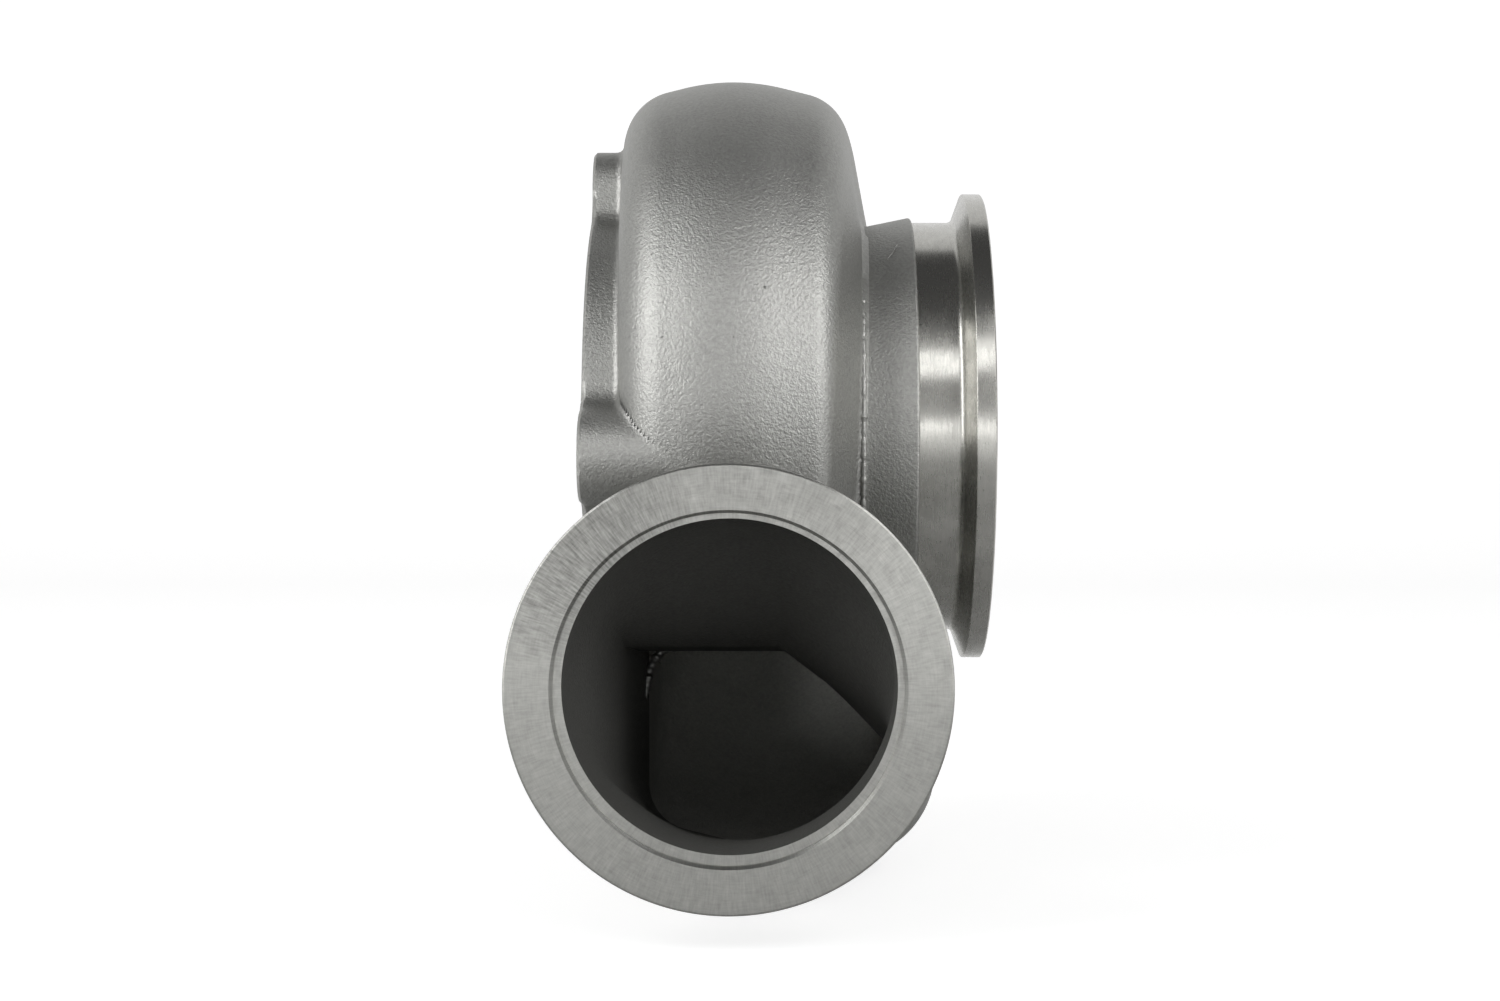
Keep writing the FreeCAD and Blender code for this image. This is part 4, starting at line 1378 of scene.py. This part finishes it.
@dataclass
class Studio:
    """White backdrop and floor, a dim room, soft lights at both sides and two softer ones in front."""

    wall_back: float = 1.5
    wall_height: float = 3.2
    floor_front: float = -3.0
    half_width: float = 4.0
    bend: float = 0.5
    bend_points: int = 13
    glow: float = 0.85
    shadow_reach: float = 0.4
    shadow_power: float = 3.0
    lift: float = 0.9
    dark_x: float = 0.07
    dark_y: float = -0.22
    dark_reach: tuple[float, float] = (0.12, 0.36)
    dark_levels: tuple[float, float] = (0.12, 0.75)
    room_heights: tuple[float, float] = (0.1, 0.85)
    room_levels: tuple[float, float] = (0.42, 0.08)
    # Name, place, size and radiance of each lamp, and the spot that they face
    LAMPS = (
        ("left_strip", (-0.88, -0.62, 0.3), (0.55, 1.5), 4.6),
        ("right_strip", (0.86, -0.76, 0.3), (0.5, 1.5), 4.2),
        ("front_high", (0.04, -1.6, 1.1), (1.0, 0.5), 2.2),
        ("front_level", (0.04, -1.6, 0.0), (0.9, 0.2), 2.0),
    )
    AIM = (0.04, 0.0, 0.0)

    def white(self) -> bpy.types.Material:
        """White paint that shows as the background to the camera and in metal, with a painted shadow of the
        casting and a patch of painted shade in front of it.
        """
        made = bpy.data.materials.new("studio_white_painted_shade")
        nodes = Nodes(made)
        ray = nodes.add("ShaderNodeLightPath").outputs
        paint = nodes.add("ShaderNodeBsdfDiffuse", {"Color": linear("b6b6b6")}).outputs["BSDF"]
        seen = nodes.maths("MAXIMUM", ray["Is Camera Ray"], ray["Is Glossy Ray"])
        seen = nodes.maths("MAXIMUM", seen, ray["Is Transmission Ray"])
        # Painted shadow: the glow fades where the casting hides the sky, far more in reflections than to the
        # camera
        open_sky = nodes.add("ShaderNodeAmbientOcclusion", {"Distance": self.shadow_reach}, samples=4)
        shaded = nodes.maths("POWER", open_sky.outputs["AO"], self.shadow_power)
        # Painted shade on the floor in front of the outlet, which gives the steel above it something dark to
        # mirror
        place = nodes.add("ShaderNodeNewGeometry").outputs["Position"]
        away = nodes.measure("DISTANCE", place, (self.dark_x, self.dark_y, SOLID_BOX[0].z))
        shaded = nodes.maths("MULTIPLY", shaded, nodes.mapped(away, self.dark_reach, self.dark_levels))
        keep = nodes.mapped(ray["Is Camera Ray"], (0.0, 1.0), (0.0, self.lift))
        shadow = nodes.add("ShaderNodeMix", {0: keep, 2: shaded, 3: 1.0}, data_type="FLOAT").outputs[0]
        strength = nodes.maths("MULTIPLY", seen, nodes.maths("MULTIPLY", shadow, self.glow))
        glow = nodes.add("ShaderNodeEmission", {"Color": linear("ffffff"), "Strength": strength}).outputs[0]
        both = nodes.add("ShaderNodeAddShader", {0: glow, 1: paint})
        nodes.add("ShaderNodeOutputMaterial", {"Surface": both.outputs[0]})
        return made

    def sweep(self) -> None:
        """Floor just under the casting that curves up into the backdrop behind it."""
        low, bend = SOLID_BOX[0].z, self.bend
        turn = np.linspace(0.0, math.pi / 2, self.bend_points)
        away, up = self.wall_back - bend + bend * np.sin(turn), low + bend - bend * np.cos(turn)
        curve = np.stack([away, up], axis=-1)
        line = np.concatenate([[(self.floor_front, low)], curve, [(self.wall_back, self.wall_height)]])
        corners = [(side, y, z) for y, z in line.tolist() for side in (-self.half_width, self.half_width)]
        faces = [(2 * i, 2 * i + 1, 2 * i + 3, 2 * i + 2) for i in range(len(line) - 1)]
        mesh = bpy.data.meshes.new("studio_sweep")
        mesh.from_pydata(corners, [], faces)
        mesh.shade_smooth()
        mesh.materials.append(self.white())
        piece = bpy.data.objects.new("studio_sweep", mesh)
        bpy.context.scene.collection.objects.link(piece)

    def room(self) -> None:
        """Dim room: grey at the horizon and below, darker overhead."""
        world = bpy.data.worlds.new("studio")
        bpy.context.scene.world = world
        nodes = Nodes(world)
        toward = nodes.add("ShaderNodeTexCoord").outputs["Generated"]
        height = nodes.add("ShaderNodeSeparateXYZ", {"Vector": toward}).outputs["Z"]
        level = nodes.mapped(height, self.room_heights, self.room_levels)
        sky = nodes.add("ShaderNodeBackground", {"Color": linear("ffffff"), "Strength": level})
        nodes.add("ShaderNodeOutputWorld", {"Surface": sky.outputs[0]})

    def lamp(self, name: str, place: tuple, size: tuple, radiance: float) -> None:
        """Soft rectangular light that faces the casting; its energy follows from its radiance and size."""
        data = bpy.data.lights.new(name, "AREA")
        data.shape = "RECTANGLE"
        data.size, data.size_y = size
        data.energy = radiance * math.pi * size[0] * size[1]
        piece = bpy.data.objects.new(name, data)
        piece.location = place
        piece.rotation_mode = "QUATERNION"
        piece.rotation_quaternion = (Vector(self.AIM) - Vector(place)).to_track_quat("-Z", "Y")
        bpy.context.scene.collection.objects.link(piece)

    def build(self) -> None:
        """Make the studio."""
        self.sweep()
        self.room()
        for lamp in self.LAMPS:
            self.lamp(*lamp)


@dataclass
class PhotoCamera:
    """Camera at the photograph's place: level, looking along +Y, with its frame shifted."""

    place: tuple[float, float, float] = (42.77, -600.0, 3.02)
    focal_px: float = 2561.7
    frame_px: tuple[int, int] = (1500, 1001)
    centre_px: tuple[float, float] = (780.0, 412.8)
    sensor_mm: float = 36.0
    clip: tuple[float, float] = (0.01, 50.0)

    def build(self) -> None:
        """Make the camera and make it the scene's."""
        data = bpy.data.cameras.new("photo_camera")
        wide, high = self.frame_px
        data.sensor_width = self.sensor_mm
        data.sensor_fit = "HORIZONTAL"
        data.lens = self.focal_px / wide * self.sensor_mm
        data.shift_x = (wide / 2 - self.centre_px[0]) / wide
        data.shift_y = (self.centre_px[1] - high / 2) / wide
        data.clip_start, data.clip_end = self.clip
        piece = bpy.data.objects.new("photo_camera", data)
        piece.location = [part * MM for part in self.place]
        piece.rotation_euler = (math.radians(90.0), 0.0, 0.0)
        bpy.context.scene.collection.objects.link(piece)
        bpy.context.scene.camera = piece


def main() -> None:
    """Build the pieces in order, then the studio and the camera."""
    logging.basicConfig(level=logging.INFO, format="%(name)s: %(message)s")
    form = CastingForm()
    blasted = CastSteel().material()
    inside = {"roughness": 0.6, "metal": 0.2, "grain_depth_mm": 0.15}
    # The core's copy of the as-cast skin is much lighter than the mouth's: painted light deep in the scroll,
    # where little light reaches
    mouth_skin = CastSteel("as_cast_stainless_mouth", "565653", **inside).material()
    deep_skin_painted_light = CastSteel("as_cast_stainless_core_painted_light", "a4a4a0", **inside).material()
    outlet_steel = TurnedSteel("turned_stainless_outlet", Axis.TURBINE, roughness=0.27).material(form)
    inlet_steel = TurnedSteel(
        "turned_stainless_inlet", Axis.INLET, "acaca8", 0.33, 0.7, streak_mm=2.0, stain=0.5, brush=1.0
    ).material(form)
    casting = ScrollCasting(form).build(blasted)
    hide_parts("turbine_housing")
    GasPassage(form).build(mouth_skin, deep_skin_painted_light)
    OutletCone(form).build(blasted)
    OutletFlange(form).build(outlet_steel)
    InletFlange(form).build(inlet_steel)
    WheelSpace(form).build(outlet_steel)
    CentreHousingFlange(form).build(blasted, outlet_steel)
    CastSeams().build(blasted)
    Studio().build()
    PhotoCamera().build()
    bpy.context.scene.view_settings.view_transform = "Standard"


if __name__ == "__main__":
    main()
